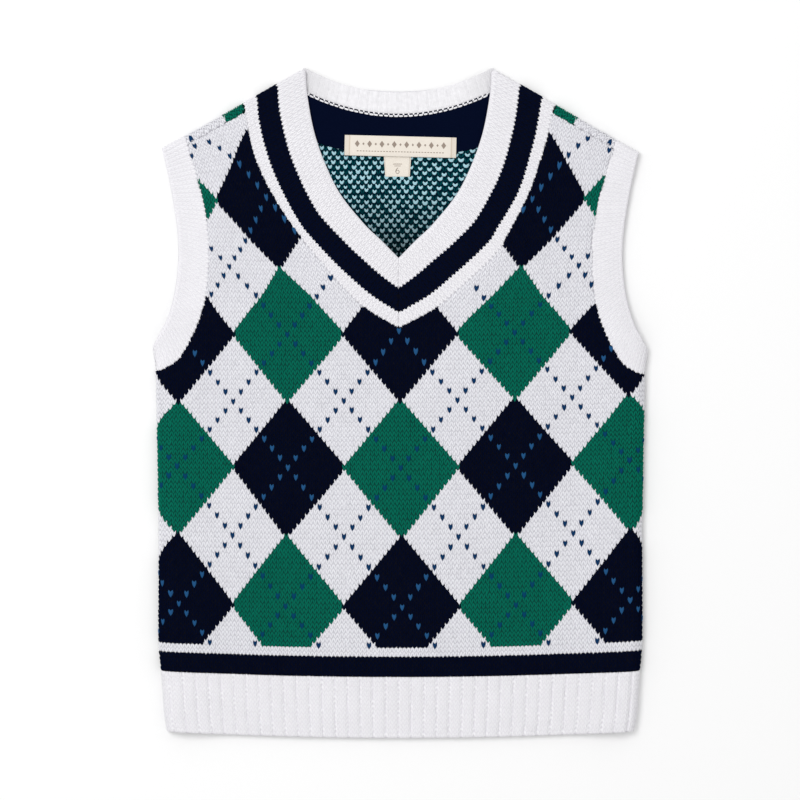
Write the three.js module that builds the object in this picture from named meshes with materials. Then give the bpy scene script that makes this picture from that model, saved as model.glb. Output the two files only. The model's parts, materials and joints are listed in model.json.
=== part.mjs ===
// A child's knitted argyle V-neck vest, laid flat on its back: the front faces up and the neck points to +Y.
// Every knitted piece is a wall with an outside and an inside, worked out from the sizes below.
// Pieces are drawn on a plan that is the same left and right, and settle() then gives the vest its slight lean.
import * as THREE from 'three';

const { clamp, lerp, smoothstep, degToRad } = THREE.MathUtils;

// Driving dimensions, in millimetres
const WALL = 2.6; // thickness of the knit
const SEAM_GAP = 0.3; // between pieces that are linked or sewn together
const FRONT_TOP = 2 * WALL + SEAM_GAP; // the front lies on the back
const SIDE_SEAM_HEIGHT = 3.55;
const FRONT_ROLL = 10; // how far in from the side the front starts to turn down
const BACK_ROLL = 4; // how far in from the side the back starts to turn up
const SIDE_PUFF = 3.6; // the springy fold at the side stands this much above the middle
const PUFF_REACH = 48;
const ROLL_FADES = { from: 270, to: 315 }; // the armholes are open above these heights
const NECK_LIFT = 1.5; // the neckband lies over the facing
const NECK_LIFT_UP = { from: 372, to: 396 };
const NECK_LIFT_ACROSS = { from: 72, to: 100 };
const SHOULDER_LIFT = 0.7;
const SHOULDER_FOLD = 3.3; // reach of the round fold along the shoulder
const SHOULDER_FLAP = 6.7; // the back comes this far over the shoulder to the forward seam
const LIFT_REACH = 25;

const NECK_CORNER = { x: 63.2, y: 456.3 };
const SHOULDER_TIP = { x: 162.2, y: 401.7 };
const BODY_CENTRE = 0.3;
const NECK_CENTRE = -1.0;
const CENTRE_BLEND = { from: 70, to: 140 }; // half widths between the neck's lean and the body's
const RIGHT_DROP = 2.6; // the right armhole lies a little lower
const DROP_ACROSS = { from: 60, to: 160 };
const DROP_UP = { from: 150, to: 240 };

const HEM_DEPTH = 41.5;
const HEM_RIBS = 38;
const HEM_RIB_HEIGHT = 0.6;
const ROLLED_SHARE = 0.075; // of the ribs on each half, which turn down with the side
const BACK_HEM_SHORT = 1.0; // the back's edge stays just inside the front's
const HEM_BOW = 4.6; // the hem dips this much in the middle
const BOW_ENDS = 200;

const BACK_NECK = { y: 439.8, power: 2.1 };
const BACK_TRIM = { y: 404, power: 2.2 };
const BACK_LINKING = { y: 423.3, rise: 15.3 }; // where the ribs inside the back neck end, at a row of linking
const NECK_ROWS = 10; // of the back panel, round the back neck
const NECK_RIBS = 20;
const NECK_RIB_HEIGHT = 0.5;
const NECK_RIB_END = 1.1; // the ribs flatten out this far above the linking
const STRIPE_SHARES = [0, 0.4, 0.76, 1]; // the neckband's white rib, navy stripe and thin white edge
const ARMHOLE_SHARES = [0, 0.5, 1];

const FACING_THICK = 1.0;
const FACING_COLUMNS = 14;
const FACING_END = 398.6;
const FACING_CORNER = 5; // its lower edge rises at the ends
const FACING_HALF = { top: 66, end: 55 };
const LABEL = { x: 0.3, y: 402.3, width: 76, height: 13.9, turn: -1.4, thick: 0.6, columns: 8 };
const SIZE_TAB = { x: -0.7, y: 390, width: 19, height: 16.4, turn: 0, thick: 0.6, columns: 3 };

// Half width of the body at the side seam, from the hem up to the underarm
const SIDE_EDGE = [
  { y: 0, half: 159.0 },
  { y: 12, half: 160.9 },
  { y: 28, half: 162.0 },
  { y: 45, half: 163.2 },
  { y: 61, half: 164.6 },
  { y: 134, half: 164.4 },
  { y: 192, half: 165.2 },
  { y: 249, half: 166.5 },
  { y: 267, half: 168.9 },
];

// Armhole band, from the shoulder fold to the underarm: its edge on the body and its free edge
const ARMHOLE = [
  { bodyX: 146.9, bodyY: 410.1, freeX: 162.2, freeY: 401.7 },
  { bodyX: 136.3, bodyY: 374.0, freeX: 156.2, freeY: 374.0 },
  { bodyX: 131.2, bodyY: 348.0, freeX: 152.0, freeY: 347.0 },
  { bodyX: 130.3, bodyY: 325.0, freeX: 151.1, freeY: 326.0 },
  { bodyX: 132.8, bodyY: 298.0, freeX: 153.6, freeY: 303.0 },
  { bodyX: 139.2, bodyY: 278.0, freeX: 158.4, freeY: 285.5 },
  { bodyX: 148.6, bodyY: 260.0, freeX: 164.3, freeY: 274.6 },
  { bodyX: 157.0, bodyY: 252.8, freeX: 167.4, freeY: 269.6 },
  { bodyX: 166.5, bodyY: 249.0, freeX: 168.9, freeY: 267.0 },
];

// Neckband at the front, from the mitre at the point of the V up to the shoulder fold
const NECKBAND = [
  { freeX: 0.0, freeY: 326.5, bodyX: 0.0, bodyY: 278.8 },
  { freeX: 11.5, freeY: 338.2, bodyX: 26.9, bodyY: 295.8 },
  { freeX: 24.5, freeY: 350.9, bodyX: 52.0, bodyY: 323.0 },
  { freeX: 42.1, freeY: 374.0, bodyX: 76.5, bodyY: 354.5 },
  { freeX: 55.6, freeY: 406.0, bodyX: 94.0, bodyY: 385.0 },
  { freeX: 61.9, freeY: 436.2, bodyX: 102.8, bodyY: 412.0 },
  { freeX: 63.2, freeY: 456.3, bodyX: 105.3, bodyY: 433.1 },
];

const COLOURS = { white: '#e9e9ee', green: '#0b5c48', navy: '#0a0f20', cream: '#e0d8cd' };

const ease = (value, { from, to }) => smoothstep(value, from, to);

// Plan lines
const edgeCurve = (rows, x, y) => new THREE.SplineCurve(rows.map((row) => new THREE.Vector2(row[x], row[y])));
const armholeBody = edgeCurve(ARMHOLE, 'bodyX', 'bodyY');
const armholeFree = edgeCurve(ARMHOLE, 'freeX', 'freeY');
const neckFree = edgeCurve(NECKBAND, 'freeX', 'freeY');
const neckBody = edgeCurve(NECKBAND, 'bodyX', 'bodyY');

function sideEdge(y) {
  const last = SIDE_EDGE.length - 1;
  const above = SIDE_EDGE.findIndex((row) => row.y > y);
  if (above < 0) return SIDE_EDGE[last].half;
  if (above === 0) return SIDE_EDGE[0].half;
  const low = SIDE_EDGE[above - 1];
  const high = SIDE_EDGE[above];
  return lerp(low.half, high.half, (y - low.y) / (high.y - low.y));
}

const shoulderSlope = new THREE.Vector2(SHOULDER_TIP.x - NECK_CORNER.x, SHOULDER_TIP.y - NECK_CORNER.y).normalize();
const shoulderOut = new THREE.Vector2(-shoulderSlope.y, shoulderSlope.x);

// Distance of a point on the plan from the shoulder fold
function fromShoulder(x, y) {
  return (NECK_CORNER.x - Math.abs(x)) * shoulderOut.x + (NECK_CORNER.y - y) * shoulderOut.y;
}

const fromSide = (x, y) => sideEdge(y) - Math.abs(x);

// Where along an edge a distance, which falls towards the curve's end or rises, reaches a value
function whereOn(curve, distance, value, start, end) {
  const rises = distance(curve.getPointAt(end)) > distance(curve.getPointAt(start));
  let low = start;
  let high = end;
  for (let step = 0; step < 30; step++) {
    const middle = (low + high) / 2;
    const past = distance(curve.getPointAt(middle)) > value;
    if (past === rises) high = middle;
    else low = middle;
  }
  return (low + high) / 2;
}

// The slight lean with which the vest lies
function settle(x, y) {
  const half = Math.abs(x);
  const centre = lerp(NECK_CENTRE, BODY_CENTRE, ease(half, CENTRE_BLEND));
  const drop = x > 0 ? RIGHT_DROP * ease(x, DROP_ACROSS) * ease(y, DROP_UP) : 0;
  return [x + centre, y - drop];
}

// One point of the wall: its outside, and its inside one thickness in along the normal
function wallPoint(x, y, z, normal, raised = 0, thick = WALL) {
  const [px, py] = settle(x, y);
  const unit = normal.clone().normalize();
  const outside = new THREE.Vector3(px, py, z);
  const inside = outside.clone().addScaledVector(unit, -thick);
  outside.addScaledVector(unit, raised);
  return { outside, inside };
}

function lift(x, y) {
  const overFacing = NECK_LIFT * ease(y, NECK_LIFT_UP) * (1 - ease(Math.abs(x), NECK_LIFT_ACROSS));
  const onShoulder = SHOULDER_LIFT * (1 - smoothstep(fromShoulder(x, y), SHOULDER_FOLD, LIFT_REACH));
  return Math.max(overFacing, onShoulder);
}

function frontPoint(x, y, raised = 0) {
  const inFrom = Math.max(fromSide(x, y), 0);
  const rolled = 1 - ease(y, ROLL_FADES);
  const puff = SIDE_PUFF * rolled * (1 - smoothstep(inFrom, FRONT_ROLL, PUFF_REACH));
  const crown = FRONT_TOP + lift(x, y) + puff;
  const turn = Math.asin(1 - Math.min(inFrom / FRONT_ROLL, 1));
  const rise = crown - SIDE_SEAM_HEIGHT - SEAM_GAP / 2;
  const fallen = rolled * (1 - Math.cos(turn));
  const outwards = Math.sign(x) * rolled * rise * Math.sin(turn);
  return wallPoint(x, y, crown - rise * fallen, new THREE.Vector3(outwards, 0, FRONT_ROLL * (1 - fallen)), raised);
}

function backPoint(x, y) {
  const inFrom = Math.max(fromSide(x, y), 0);
  const rolled = 1 - ease(y, ROLL_FADES);
  const turn = Math.asin(1 - Math.min(inFrom / BACK_ROLL, 1));
  const rise = SIDE_SEAM_HEIGHT - SEAM_GAP / 2;
  const risen = rolled * (1 - Math.cos(turn));
  const outwards = Math.sign(x) * rolled * rise * Math.sin(turn);
  return wallPoint(x, y, rise * risen, new THREE.Vector3(outwards, 0, -BACK_ROLL * (1 - risen)));
}

// A point on the round fold of the shoulder: turn runs from -90 degrees underneath to 90 degrees on top
function foldPoint(x, y, turn) {
  const half = (FRONT_TOP + lift(x, y)) / 2;
  const out = half * Math.cos(turn);
  const normal = new THREE.Vector3(Math.sign(x) * shoulderOut.x * out, shoulderOut.y * out, 0);
  normal.z = SHOULDER_FOLD * Math.sin(turn);
  return wallPoint(x, y, half * (1 + Math.sin(turn)), normal);
}

const foldReach = (turn) => SHOULDER_FOLD * (1 - Math.cos(turn));

// Closed solid of one or more grids of wall points, which join wherever their points meet
function clothSolid(grids) {
  const points = [];
  const known = new Map();
  const faces = [];
  const indexOf = (point) => {
    const key = point.outside.toArray().map((value) => Math.round(value * 1e4)).join();
    if (!known.has(key)) {
      known.set(key, points.length);
      points.push(point);
    }
    return known.get(key);
  };
  for (const grid of grids) {
    const [a, b, c] = [grid[0][0], grid[1][0], grid[0][1]];
    const across = c.outside.clone().sub(a.outside);
    const facing = b.outside.clone().sub(a.outside).cross(across).dot(a.outside.clone().sub(a.inside));
    for (let row = 0; row + 1 < grid.length; row++) {
      for (let column = 0; column + 1 < grid[row].length; column++) {
        const corners = [
          grid[row][column],
          grid[row + 1][column],
          grid[row + 1][column + 1],
          grid[row][column + 1],
        ].map(indexOf);
        if (facing < 0) corners.reverse();
        faces.push([corners[0], corners[1], corners[2]], [corners[0], corners[2], corners[3]]);
      }
    }
  }
  const whole = faces.filter((face) => new Set(face).size === 3);
  const edges = new Set(whole.flatMap(([a, b, c]) => [`${a},${b}`, `${b},${c}`, `${c},${a}`]));
  const count = points.length;
  const triangles = [];
  for (const [a, b, c] of whole) triangles.push([a, b, c], [a + count, c + count, b + count]);
  for (const edge of edges) {
    const [a, b] = edge.split(',').map(Number);
    if (edges.has(`${b},${a}`)) continue;
    // Walls that face each other across a seam are split along the same, shorter diagonal
    const down = points[a].outside.distanceTo(points[b].inside);
    const up = points[b].outside.distanceTo(points[a].inside);
    if (up < down) triangles.push([a, a + count, b], [b, a + count, b + count]);
    else triangles.push([a, a + count, b + count], [a, b + count, b]);
  }
  const positions = [...points.map((point) => point.outside), ...points.map((point) => point.inside)];
  const geometry = new THREE.BufferGeometry();
  geometry.setAttribute('position', new THREE.Float32BufferAttribute(positions.flatMap((p) => p.toArray()), 3));
  geometry.setIndex(triangles.flat());
  geometry.computeVertexNormals();
  return geometry;
}

const steps = (count, from = 0, to = 1) => Array.from({ length: count + 1 }, (_, i) => lerp(from, to, i / count));

// Rows and columns of the body panels, on one half of the plan
const COLUMNS = 5;
const ROLL_TURNS = [0, 25, 50, 72, 90].map(degToRad);

// A row from the middle or the neck edge out to the side or the armhole, closer together where the side turns
function rowAcross(side, inner, outer, roll, pointAt) {
  const turnStart = outer.x - roll;
  const flat = steps(COLUMNS, inner.x, turnStart).slice(0, -1);
  const turned = ROLL_TURNS.map((turn) => outer.x - roll * (1 - Math.sin(turn)));
  return [...flat, ...turned].map((x) => {
    const y = lerp(inner.y, outer.y, (x - inner.x) / (outer.x - inner.x));
    return pointAt(side * x, y);
  });
}

const hemLine = (x, y) => y + HEM_BOW * (Math.abs(x) / SIDE_EDGE[0].half) ** 2 * (1 - smoothstep(y, 0, BOW_ENDS));
const BODY_ROWS = [HEM_DEPTH, 75, 110, 150, 190, 225, 243];
const UNDERARM_Y = ARMHOLE.at(-1).bodyY;
const V_POINT_Y = NECKBAND[0].bodyY;

const sideOf = (point) => fromSide(point.x, point.y);
const shoulderOf = (point) => fromShoulder(point.x, point.y);
const HALFWAY = 0.5; // along an edge
const shoulderOn = (curve, distance) => whereOn(curve, shoulderOf, distance, HALFWAY, 1);
const armholeShoulder = (curve, distance) => whereOn(curve, shoulderOf, distance, 0, HALFWAY);

// Stations along the edges, shared by the bands and the panels that they are linked to
const TURN_STATIONS = [0, 0.4, 1.6, 4, 7, FRONT_ROLL]; // distances in from the side, round its turn
const SHOULDER_STATIONS = [SHOULDER_FLAP, (SHOULDER_FLAP + SHOULDER_FOLD) / 2];
const UPPER_ROWS = 9;
const FREE_LEVEL_Y = 300; // where the free edge is opposite the body's edge at the height of the V's point
const foldTurns = [-90, -60, -30, 0, 30, 60, 90].map(degToRad);

function armholeStations(curve) {
  const turned = TURN_STATIONS.map((distance) => whereOn(curve, sideOf, distance, HALFWAY, 1));
  const level = whereOn(curve, (point) => point.y, curve === armholeBody ? V_POINT_Y : FREE_LEVEL_Y, 0, 1);
  const seam = armholeShoulder(curve, SHOULDER_FLAP + SEAM_GAP);
  const low = steps(3, turned.at(-1), level).slice(1);
  const high = steps(UPPER_ROWS, level, seam).slice(1);
  return { low: [...turned, ...low], high, shoulder: SHOULDER_STATIONS.map((e) => armholeShoulder(curve, e)) };
}

function neckStations(curve) {
  const seam = shoulderOn(curve, SHOULDER_FLAP + SEAM_GAP);
  return [...steps(UPPER_ROWS, 0, seam), ...SHOULDER_STATIONS.map((e) => shoulderOn(curve, e))];
}

const onBody = armholeStations(armholeBody);

// Rows that both panels share, from the hem up to the level of the V's point
function lowerRows(side, roll, pointAt) {
  const body = BODY_ROWS.map((y) =>
    rowAcross(side, { x: 0, y }, { x: sideEdge(y), y }, roll, (x, rowY) => pointAt(x, hemLine(x, rowY))),
  );
  const underarm = onBody.low.map((at, index) => {
    const inner = { x: 0, y: lerp(UNDERARM_Y, V_POINT_Y, index / (onBody.low.length - 1)) };
    return rowAcross(side, inner, armholeBody.getPointAt(at), roll, pointAt);
  });
  return [...body, ...underarm];
}

function frontHalf(side) {
  const upper = neckStations(neckBody)
    .slice(1, UPPER_ROWS + 1)
    .map((at, index) => {
      const outer = armholeBody.getPointAt(onBody.high[index]);
      return rowAcross(side, neckBody.getPointAt(at), outer, FRONT_ROLL, frontPoint);
    });
  return [...lowerRows(side, FRONT_ROLL, frontPoint), ...upper];
}

// Across the back of the neck, from the middle of the back to the shoulder fold
const foldFree = neckFree.getPointAt(shoulderOn(neckFree, SHOULDER_FOLD));
const foldBody = neckBody.getPointAt(shoulderOn(neckBody, SHOULDER_FOLD));
const backNeck = (part) => ({
  x: foldFree.x * part,
  y: BACK_NECK.y + (foldFree.y - BACK_NECK.y) * part ** BACK_NECK.power,
});
const backTrim = (part) => ({
  x: foldBody.x * part,
  y: BACK_TRIM.y + (foldBody.y - BACK_TRIM.y) * part ** BACK_TRIM.power,
});
const linkingY = (x) => BACK_LINKING.y + BACK_LINKING.rise * (x / NECK_CORNER.x) ** 2;

function backHalf(side) {
  const straight = UPPER_ROWS - 2;
  const middle = onBody.high.slice(0, straight).map((at, index) => {
    const inner = { x: 0, y: lerp(V_POINT_Y, BACK_TRIM.y, (index + 1) / straight) };
    return rowAcross(side, inner, armholeBody.getPointAt(at), BACK_ROLL, backPoint);
  });
  const lastAt = armholeShoulder(armholeBody, SHOULDER_FOLD);
  const neck = steps(NECK_ROWS)
    .slice(1, -1)
    .map((part) => {
      const outer = armholeBody.getPointAt(lerp(onBody.high[straight - 1], lastAt, part));
      return rowAcross(side, backTrim(part), outer, BACK_ROLL, backPoint);
    });
  const alongShoulder = (distance, pointAt) => {
    const inner = neckBody.getPointAt(shoulderOn(neckBody, distance));
    const outer = armholeBody.getPointAt(armholeShoulder(armholeBody, distance));
    return rowAcross(side, inner, outer, BACK_ROLL, pointAt);
  };
  const fold = foldTurns.map((turn) => alongShoulder(foldReach(turn), (x, y) => foldPoint(x, y, turn)));
  const flap = SHOULDER_STATIONS.toReversed().map((distance) => alongShoulder(distance, frontPoint));
  return [...lowerRows(side, BACK_ROLL, backPoint), ...middle, ...neck, ...fold, ...flap];
}

// Hem ribs: each has a groove and a flat crest
const RIB_PROFILE = [
  { along: 0, raised: 0 },
  { along: 0.2, raised: 1 },
  { along: 0.8, raised: 1 },
];

// Places from -1 to 1 across a row of ribs
function ribPlaces(ribs) {
  const places = [];
  for (let rib = 0; rib < ribs; rib++) {
    for (const { along, raised } of RIB_PROFILE) places.push({ at: ((rib + along) / ribs) * 2 - 1, raised });
  }
  return [...places, { at: 1, raised: 0 }];
}

function hemRib() {
  const places = ribPlaces(HEM_RIBS);
  const rows = [0, HEM_DEPTH / 2, HEM_DEPTH - SEAM_GAP];
  return rows.map((y) =>
    places.map(({ at, raised }) => {
      const edge = sideEdge(y);
      const far = Math.abs(at);
      const turn = (clamp((far - 1 + ROLLED_SHARE) / ROLLED_SHARE, 0, 1) * Math.PI) / 2;
      const flat = ((edge - FRONT_ROLL) * Math.min(far, 1 - ROLLED_SHARE)) / (1 - ROLLED_SHARE);
      const x = (Math.sign(at) || 1) * (flat + FRONT_ROLL * Math.sin(turn));
      return frontPoint(x, hemLine(x, y), HEM_RIB_HEIGHT * raised);
    }),
  );
}

function hemBack(side) {
  return [BACK_HEM_SHORT, HEM_DEPTH / 2, HEM_DEPTH - SEAM_GAP].map((y) =>
    rowAcross(side, { x: 0, y }, { x: sideEdge(y), y }, BACK_ROLL, (x, rowY) => backPoint(x, hemLine(x, rowY))),
  );
}

// Points across a band at one station, each edge drawn in by its share of the seam gap
function bandAcross(free, body, shares, pointAt) {
  const width = Math.hypot(body.x - free.x, body.y - free.y);
  const reach = 1 - SEAM_GAP / width;
  return shares.map((share) => pointAt(lerp(free.x, body.x, share * reach), lerp(free.y, body.y, share * reach)));
}

// Armhole band: from the underarm up the front, over the shoulder and down the back to the underarm
function armholeBand(side) {
  const onFree = armholeStations(armholeFree);
  const station = (freeAt, bodyAt, pointAt) => {
    const free = armholeFree.getPointAt(freeAt);
    const body = armholeBody.getPointAt(bodyAt);
    return bandAcross(free, body, ARMHOLE_SHARES, (x, y) => pointAt(side * x, y));
  };
  const face = (pointAt) => {
    const free = [...onFree.low, ...onFree.high, ...onFree.shoulder];
    const body = [...onBody.low, ...onBody.high, ...onBody.shoulder];
    return free.map((at, index) => station(at, body[index], pointAt));
  };
  const fold = foldTurns.toReversed().map((turn) => {
    const at = [armholeFree, armholeBody].map((curve) => armholeShoulder(curve, foldReach(turn)));
    return station(...at, (x, y) => foldPoint(x, y, turn));
  });
  return [...face(frontPoint), ...fold, ...face(backPoint).toReversed()];
}

// The back of the neckband carries its ribs on the side that shows inside the neck
function neckbandBack() {
  const places = ribPlaces(NECK_RIBS);
  return places.slice(1, -1).map(({ at, raised }) => {
    const part = Math.abs(at);
    const free = backNeck(part);
    const body = backTrim(part);
    const shareAt = (above) => {
      const line = new THREE.LineCurve(new THREE.Vector2(free.x, free.y), new THREE.Vector2(body.x, body.y));
      return whereOn(line, (p) => p.y - linkingY(p.x), above, 0, 1);
    };
    const shares = [0, shareAt(NECK_RIB_END), shareAt(SEAM_GAP), 1];
    return bandAcross(free, body, shares, (x, y) => backPoint(Math.sign(at) * x, y)).map((point, index) => {
      const height = index < 2 ? NECK_RIB_HEIGHT * raised : 0;
      return { outside: point.outside, inside: point.inside.clone().add(new THREE.Vector3(0, 0, height)) };
    });
  });
}

function neckbandSide(side) {
  const station = (freeAt, bodyAt, pointAt) => {
    const free = neckFree.getPointAt(freeAt);
    const body = neckBody.getPointAt(bodyAt);
    return bandAcross(free, body, STRIPE_SHARES, (x, y) => pointAt(side * Math.max(x, SEAM_GAP / 2), y));
  };
  const body = neckStations(neckBody);
  const face = neckStations(neckFree).map((at, index) => station(at, body[index], frontPoint));
  const fold = foldTurns.toReversed().map((turn) => {
    const at = [neckFree, neckBody].map((curve) => shoulderOn(curve, foldReach(turn)));
    return station(...at, (x, y) => foldPoint(x, y, turn));
  });
  return [...face, ...fold];
}

function neckband() {
  return [...neckbandSide(-1), ...neckbandBack(), ...neckbandSide(1).toReversed()];
}

// A thin flat layer that lies on the back panel
function layerPoint(x, y, bottom, thick) {
  return wallPoint(x, y, bottom + thick, new THREE.Vector3(0, 0, 1), 0, thick);
}

function facing() {
  return steps(FACING_COLUMNS, -1, 1).map((at) => {
    const top = { x: FACING_HALF.top * at, y: linkingY(FACING_HALF.top * at) - SEAM_GAP };
    const end = { x: FACING_HALF.end * at, y: FACING_END + FACING_CORNER * Math.abs(at) ** 3 };
    return steps(3).map((down) =>
      layerPoint(lerp(top.x, end.x, down), lerp(top.y, end.y, down), WALL + SEAM_GAP, FACING_THICK),
    );
  });
}

function label({ x, y, width, height, turn, thick, columns }, bottom) {
  const angle = degToRad(turn);
  return steps(columns, -width / 2, width / 2).map((along) =>
    steps(2, -height / 2, height / 2).map((up) =>
      layerPoint(
        x + along * Math.cos(angle) - up * Math.sin(angle),
        y + along * Math.sin(angle) + up * Math.cos(angle),
        bottom,
        thick,
      ),
    ),
  );
}

const vest = new THREE.Group();

function addPiece(name, colour, grids) {
  const material = new THREE.MeshStandardMaterial({ color: colour, roughness: 0.9, metalness: 0 });
  const mesh = new THREE.Mesh(clothSolid(grids), material);
  mesh.name = name;
  vest.add(mesh);
}

const FACING_TOP = WALL + SEAM_GAP + FACING_THICK;

addPiece('front_panel', COLOURS.green, [frontHalf(-1), frontHalf(1)]);
addPiece('back_panel', COLOURS.green, [backHalf(-1), backHalf(1)]);
addPiece('hem_rib_front', COLOURS.white, [hemRib()]);
addPiece('hem_rib_back', COLOURS.white, [hemBack(-1), hemBack(1)]);
addPiece('neckband', COLOURS.white, [neckband()]);
addPiece('armhole_band_left', COLOURS.white, [armholeBand(-1)]);
addPiece('armhole_band_right', COLOURS.white, [armholeBand(1)]);
addPiece('back_neck_facing', COLOURS.navy, [facing()]);
addPiece('neck_label', COLOURS.cream, [label(LABEL, FACING_TOP + SEAM_GAP)]);
addPiece('size_label', COLOURS.cream, [label(SIZE_TAB, WALL + SEAM_GAP)]);

// The origin is on the table, under the middle of the vest
const middle = new THREE.Box3().setFromObject(vest).getCenter(new THREE.Vector3());
vest.position.set(-middle.x, -middle.y, 0);

export default vest;
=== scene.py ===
import json
import math

import bpy
import numpy as np
from mathutils import Vector
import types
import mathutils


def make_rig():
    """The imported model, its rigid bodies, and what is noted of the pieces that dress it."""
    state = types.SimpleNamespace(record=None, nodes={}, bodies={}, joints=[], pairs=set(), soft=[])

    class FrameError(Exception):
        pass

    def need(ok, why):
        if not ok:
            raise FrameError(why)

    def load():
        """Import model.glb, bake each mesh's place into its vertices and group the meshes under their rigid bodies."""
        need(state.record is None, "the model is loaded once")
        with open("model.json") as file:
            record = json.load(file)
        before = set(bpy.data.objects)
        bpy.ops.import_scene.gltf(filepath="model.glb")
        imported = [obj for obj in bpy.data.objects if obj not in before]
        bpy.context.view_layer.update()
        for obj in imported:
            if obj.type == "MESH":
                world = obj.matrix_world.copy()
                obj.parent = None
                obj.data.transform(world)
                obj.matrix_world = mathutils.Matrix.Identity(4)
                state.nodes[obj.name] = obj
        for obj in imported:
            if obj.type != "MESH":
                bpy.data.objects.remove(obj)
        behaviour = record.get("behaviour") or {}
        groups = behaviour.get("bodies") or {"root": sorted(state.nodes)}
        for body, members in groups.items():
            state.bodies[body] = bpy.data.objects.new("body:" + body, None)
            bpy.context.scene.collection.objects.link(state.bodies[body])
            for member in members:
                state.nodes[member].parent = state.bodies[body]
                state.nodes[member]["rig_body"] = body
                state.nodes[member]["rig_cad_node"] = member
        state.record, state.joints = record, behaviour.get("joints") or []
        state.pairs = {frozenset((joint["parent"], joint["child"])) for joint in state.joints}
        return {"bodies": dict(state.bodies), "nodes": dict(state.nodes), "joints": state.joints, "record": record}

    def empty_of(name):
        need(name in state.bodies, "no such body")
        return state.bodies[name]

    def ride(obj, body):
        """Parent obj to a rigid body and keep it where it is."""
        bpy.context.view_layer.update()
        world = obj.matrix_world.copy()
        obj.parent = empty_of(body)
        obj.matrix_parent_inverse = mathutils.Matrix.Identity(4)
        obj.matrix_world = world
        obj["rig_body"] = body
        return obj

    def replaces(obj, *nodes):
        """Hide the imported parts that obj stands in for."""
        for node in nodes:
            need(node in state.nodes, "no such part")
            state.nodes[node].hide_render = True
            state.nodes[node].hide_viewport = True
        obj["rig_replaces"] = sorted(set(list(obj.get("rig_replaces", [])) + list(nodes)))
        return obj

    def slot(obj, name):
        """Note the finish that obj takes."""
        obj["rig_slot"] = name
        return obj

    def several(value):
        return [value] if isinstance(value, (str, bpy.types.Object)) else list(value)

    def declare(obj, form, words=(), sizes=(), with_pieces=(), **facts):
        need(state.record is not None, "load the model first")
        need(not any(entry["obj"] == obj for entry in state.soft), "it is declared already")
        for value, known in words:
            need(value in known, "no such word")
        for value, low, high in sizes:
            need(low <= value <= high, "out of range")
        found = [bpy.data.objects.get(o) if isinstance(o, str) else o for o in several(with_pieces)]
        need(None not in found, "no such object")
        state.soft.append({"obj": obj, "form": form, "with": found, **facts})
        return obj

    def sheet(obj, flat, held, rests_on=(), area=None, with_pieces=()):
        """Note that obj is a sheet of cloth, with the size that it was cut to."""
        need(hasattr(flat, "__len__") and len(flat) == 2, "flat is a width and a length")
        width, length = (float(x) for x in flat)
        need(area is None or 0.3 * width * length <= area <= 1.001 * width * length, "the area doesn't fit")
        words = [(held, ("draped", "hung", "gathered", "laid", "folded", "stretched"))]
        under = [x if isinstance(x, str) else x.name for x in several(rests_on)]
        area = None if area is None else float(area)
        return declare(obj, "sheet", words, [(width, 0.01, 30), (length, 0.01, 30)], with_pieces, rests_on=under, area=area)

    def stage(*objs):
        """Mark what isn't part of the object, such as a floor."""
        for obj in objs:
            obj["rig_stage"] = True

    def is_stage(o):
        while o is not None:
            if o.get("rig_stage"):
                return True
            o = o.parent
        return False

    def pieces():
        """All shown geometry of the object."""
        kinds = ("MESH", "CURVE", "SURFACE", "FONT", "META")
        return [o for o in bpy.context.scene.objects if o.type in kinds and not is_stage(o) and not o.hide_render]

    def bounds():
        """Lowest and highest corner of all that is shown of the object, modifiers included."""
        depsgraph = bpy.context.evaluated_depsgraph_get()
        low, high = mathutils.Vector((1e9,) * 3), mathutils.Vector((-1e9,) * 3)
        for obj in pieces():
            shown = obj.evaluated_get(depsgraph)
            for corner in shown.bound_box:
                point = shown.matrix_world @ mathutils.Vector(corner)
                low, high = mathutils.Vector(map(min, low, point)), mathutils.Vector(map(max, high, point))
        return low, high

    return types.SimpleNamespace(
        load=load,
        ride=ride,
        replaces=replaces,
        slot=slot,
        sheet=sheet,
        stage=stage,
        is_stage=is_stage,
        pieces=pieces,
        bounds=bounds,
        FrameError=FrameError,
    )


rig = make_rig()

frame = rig.load()
cad_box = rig.bounds()

# Sizes are in millimetres on the vest's plan, whose hem is at y = 0, until a mesh is made
MM = 0.001
PLAN_ORIGIN = np.array([0.3, -cad_box[0][1] / MM, 0.0])  # the row's origin, seen on the plan

WALL = 2.6
SEAM_GAP = 0.3
FRONT_TOP = 2 * WALL + SEAM_GAP
SIDE_SEAM_HEIGHT = 3.55
FRONT_ROLL = 10
BACK_ROLL = 4
SIDE_PUFF = 3.6
PUFF_REACH = 48
ROLL_FADES = (270, 315)
NECK_LIFT = 1.5
NECK_LIFT_UP = (372, 396)
NECK_LIFT_ACROSS = (72, 100)
SHOULDER_LIFT = 0.7
SHOULDER_FOLD = 3.3
SHOULDER_FLAP = 6.7
LIFT_REACH = 25
NECK_CORNER = (63.2, 456.3)
SHOULDER_TIP = (162.2, 401.7)
BODY_CENTRE = 0.3
NECK_CENTRE = -1.0
CENTRE_BLEND = (70, 140)
RIGHT_DROP = 2.6
DROP_ACROSS = (60, 160)
DROP_UP = (150, 240)
HEM_DEPTH = 41.5
HEM_BOW = 4.6
BOW_ENDS = (0, 200)
BACK_NECK = {"y": 439.8, "power": 2.1}
BACK_TRIM = {"y": 404, "power": 2.2}
BACK_LINKING = {"y": 423.3, "rise": 15.3}
NECK_RIB_HEIGHT = 0.5
FACING_THICK = 1.0
FACING_END = {"y": 397.0, "rise": 6.5, "tilt": -1.4}
LINKING_RAISE = 1.0
FACING_HALF = {"top": 66, "end": 55}
LABEL = {"x": 1.3, "y": 402.3, "width": 76, "height": 13.9, "turn": -1.4, "thick": 0.6}
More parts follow.
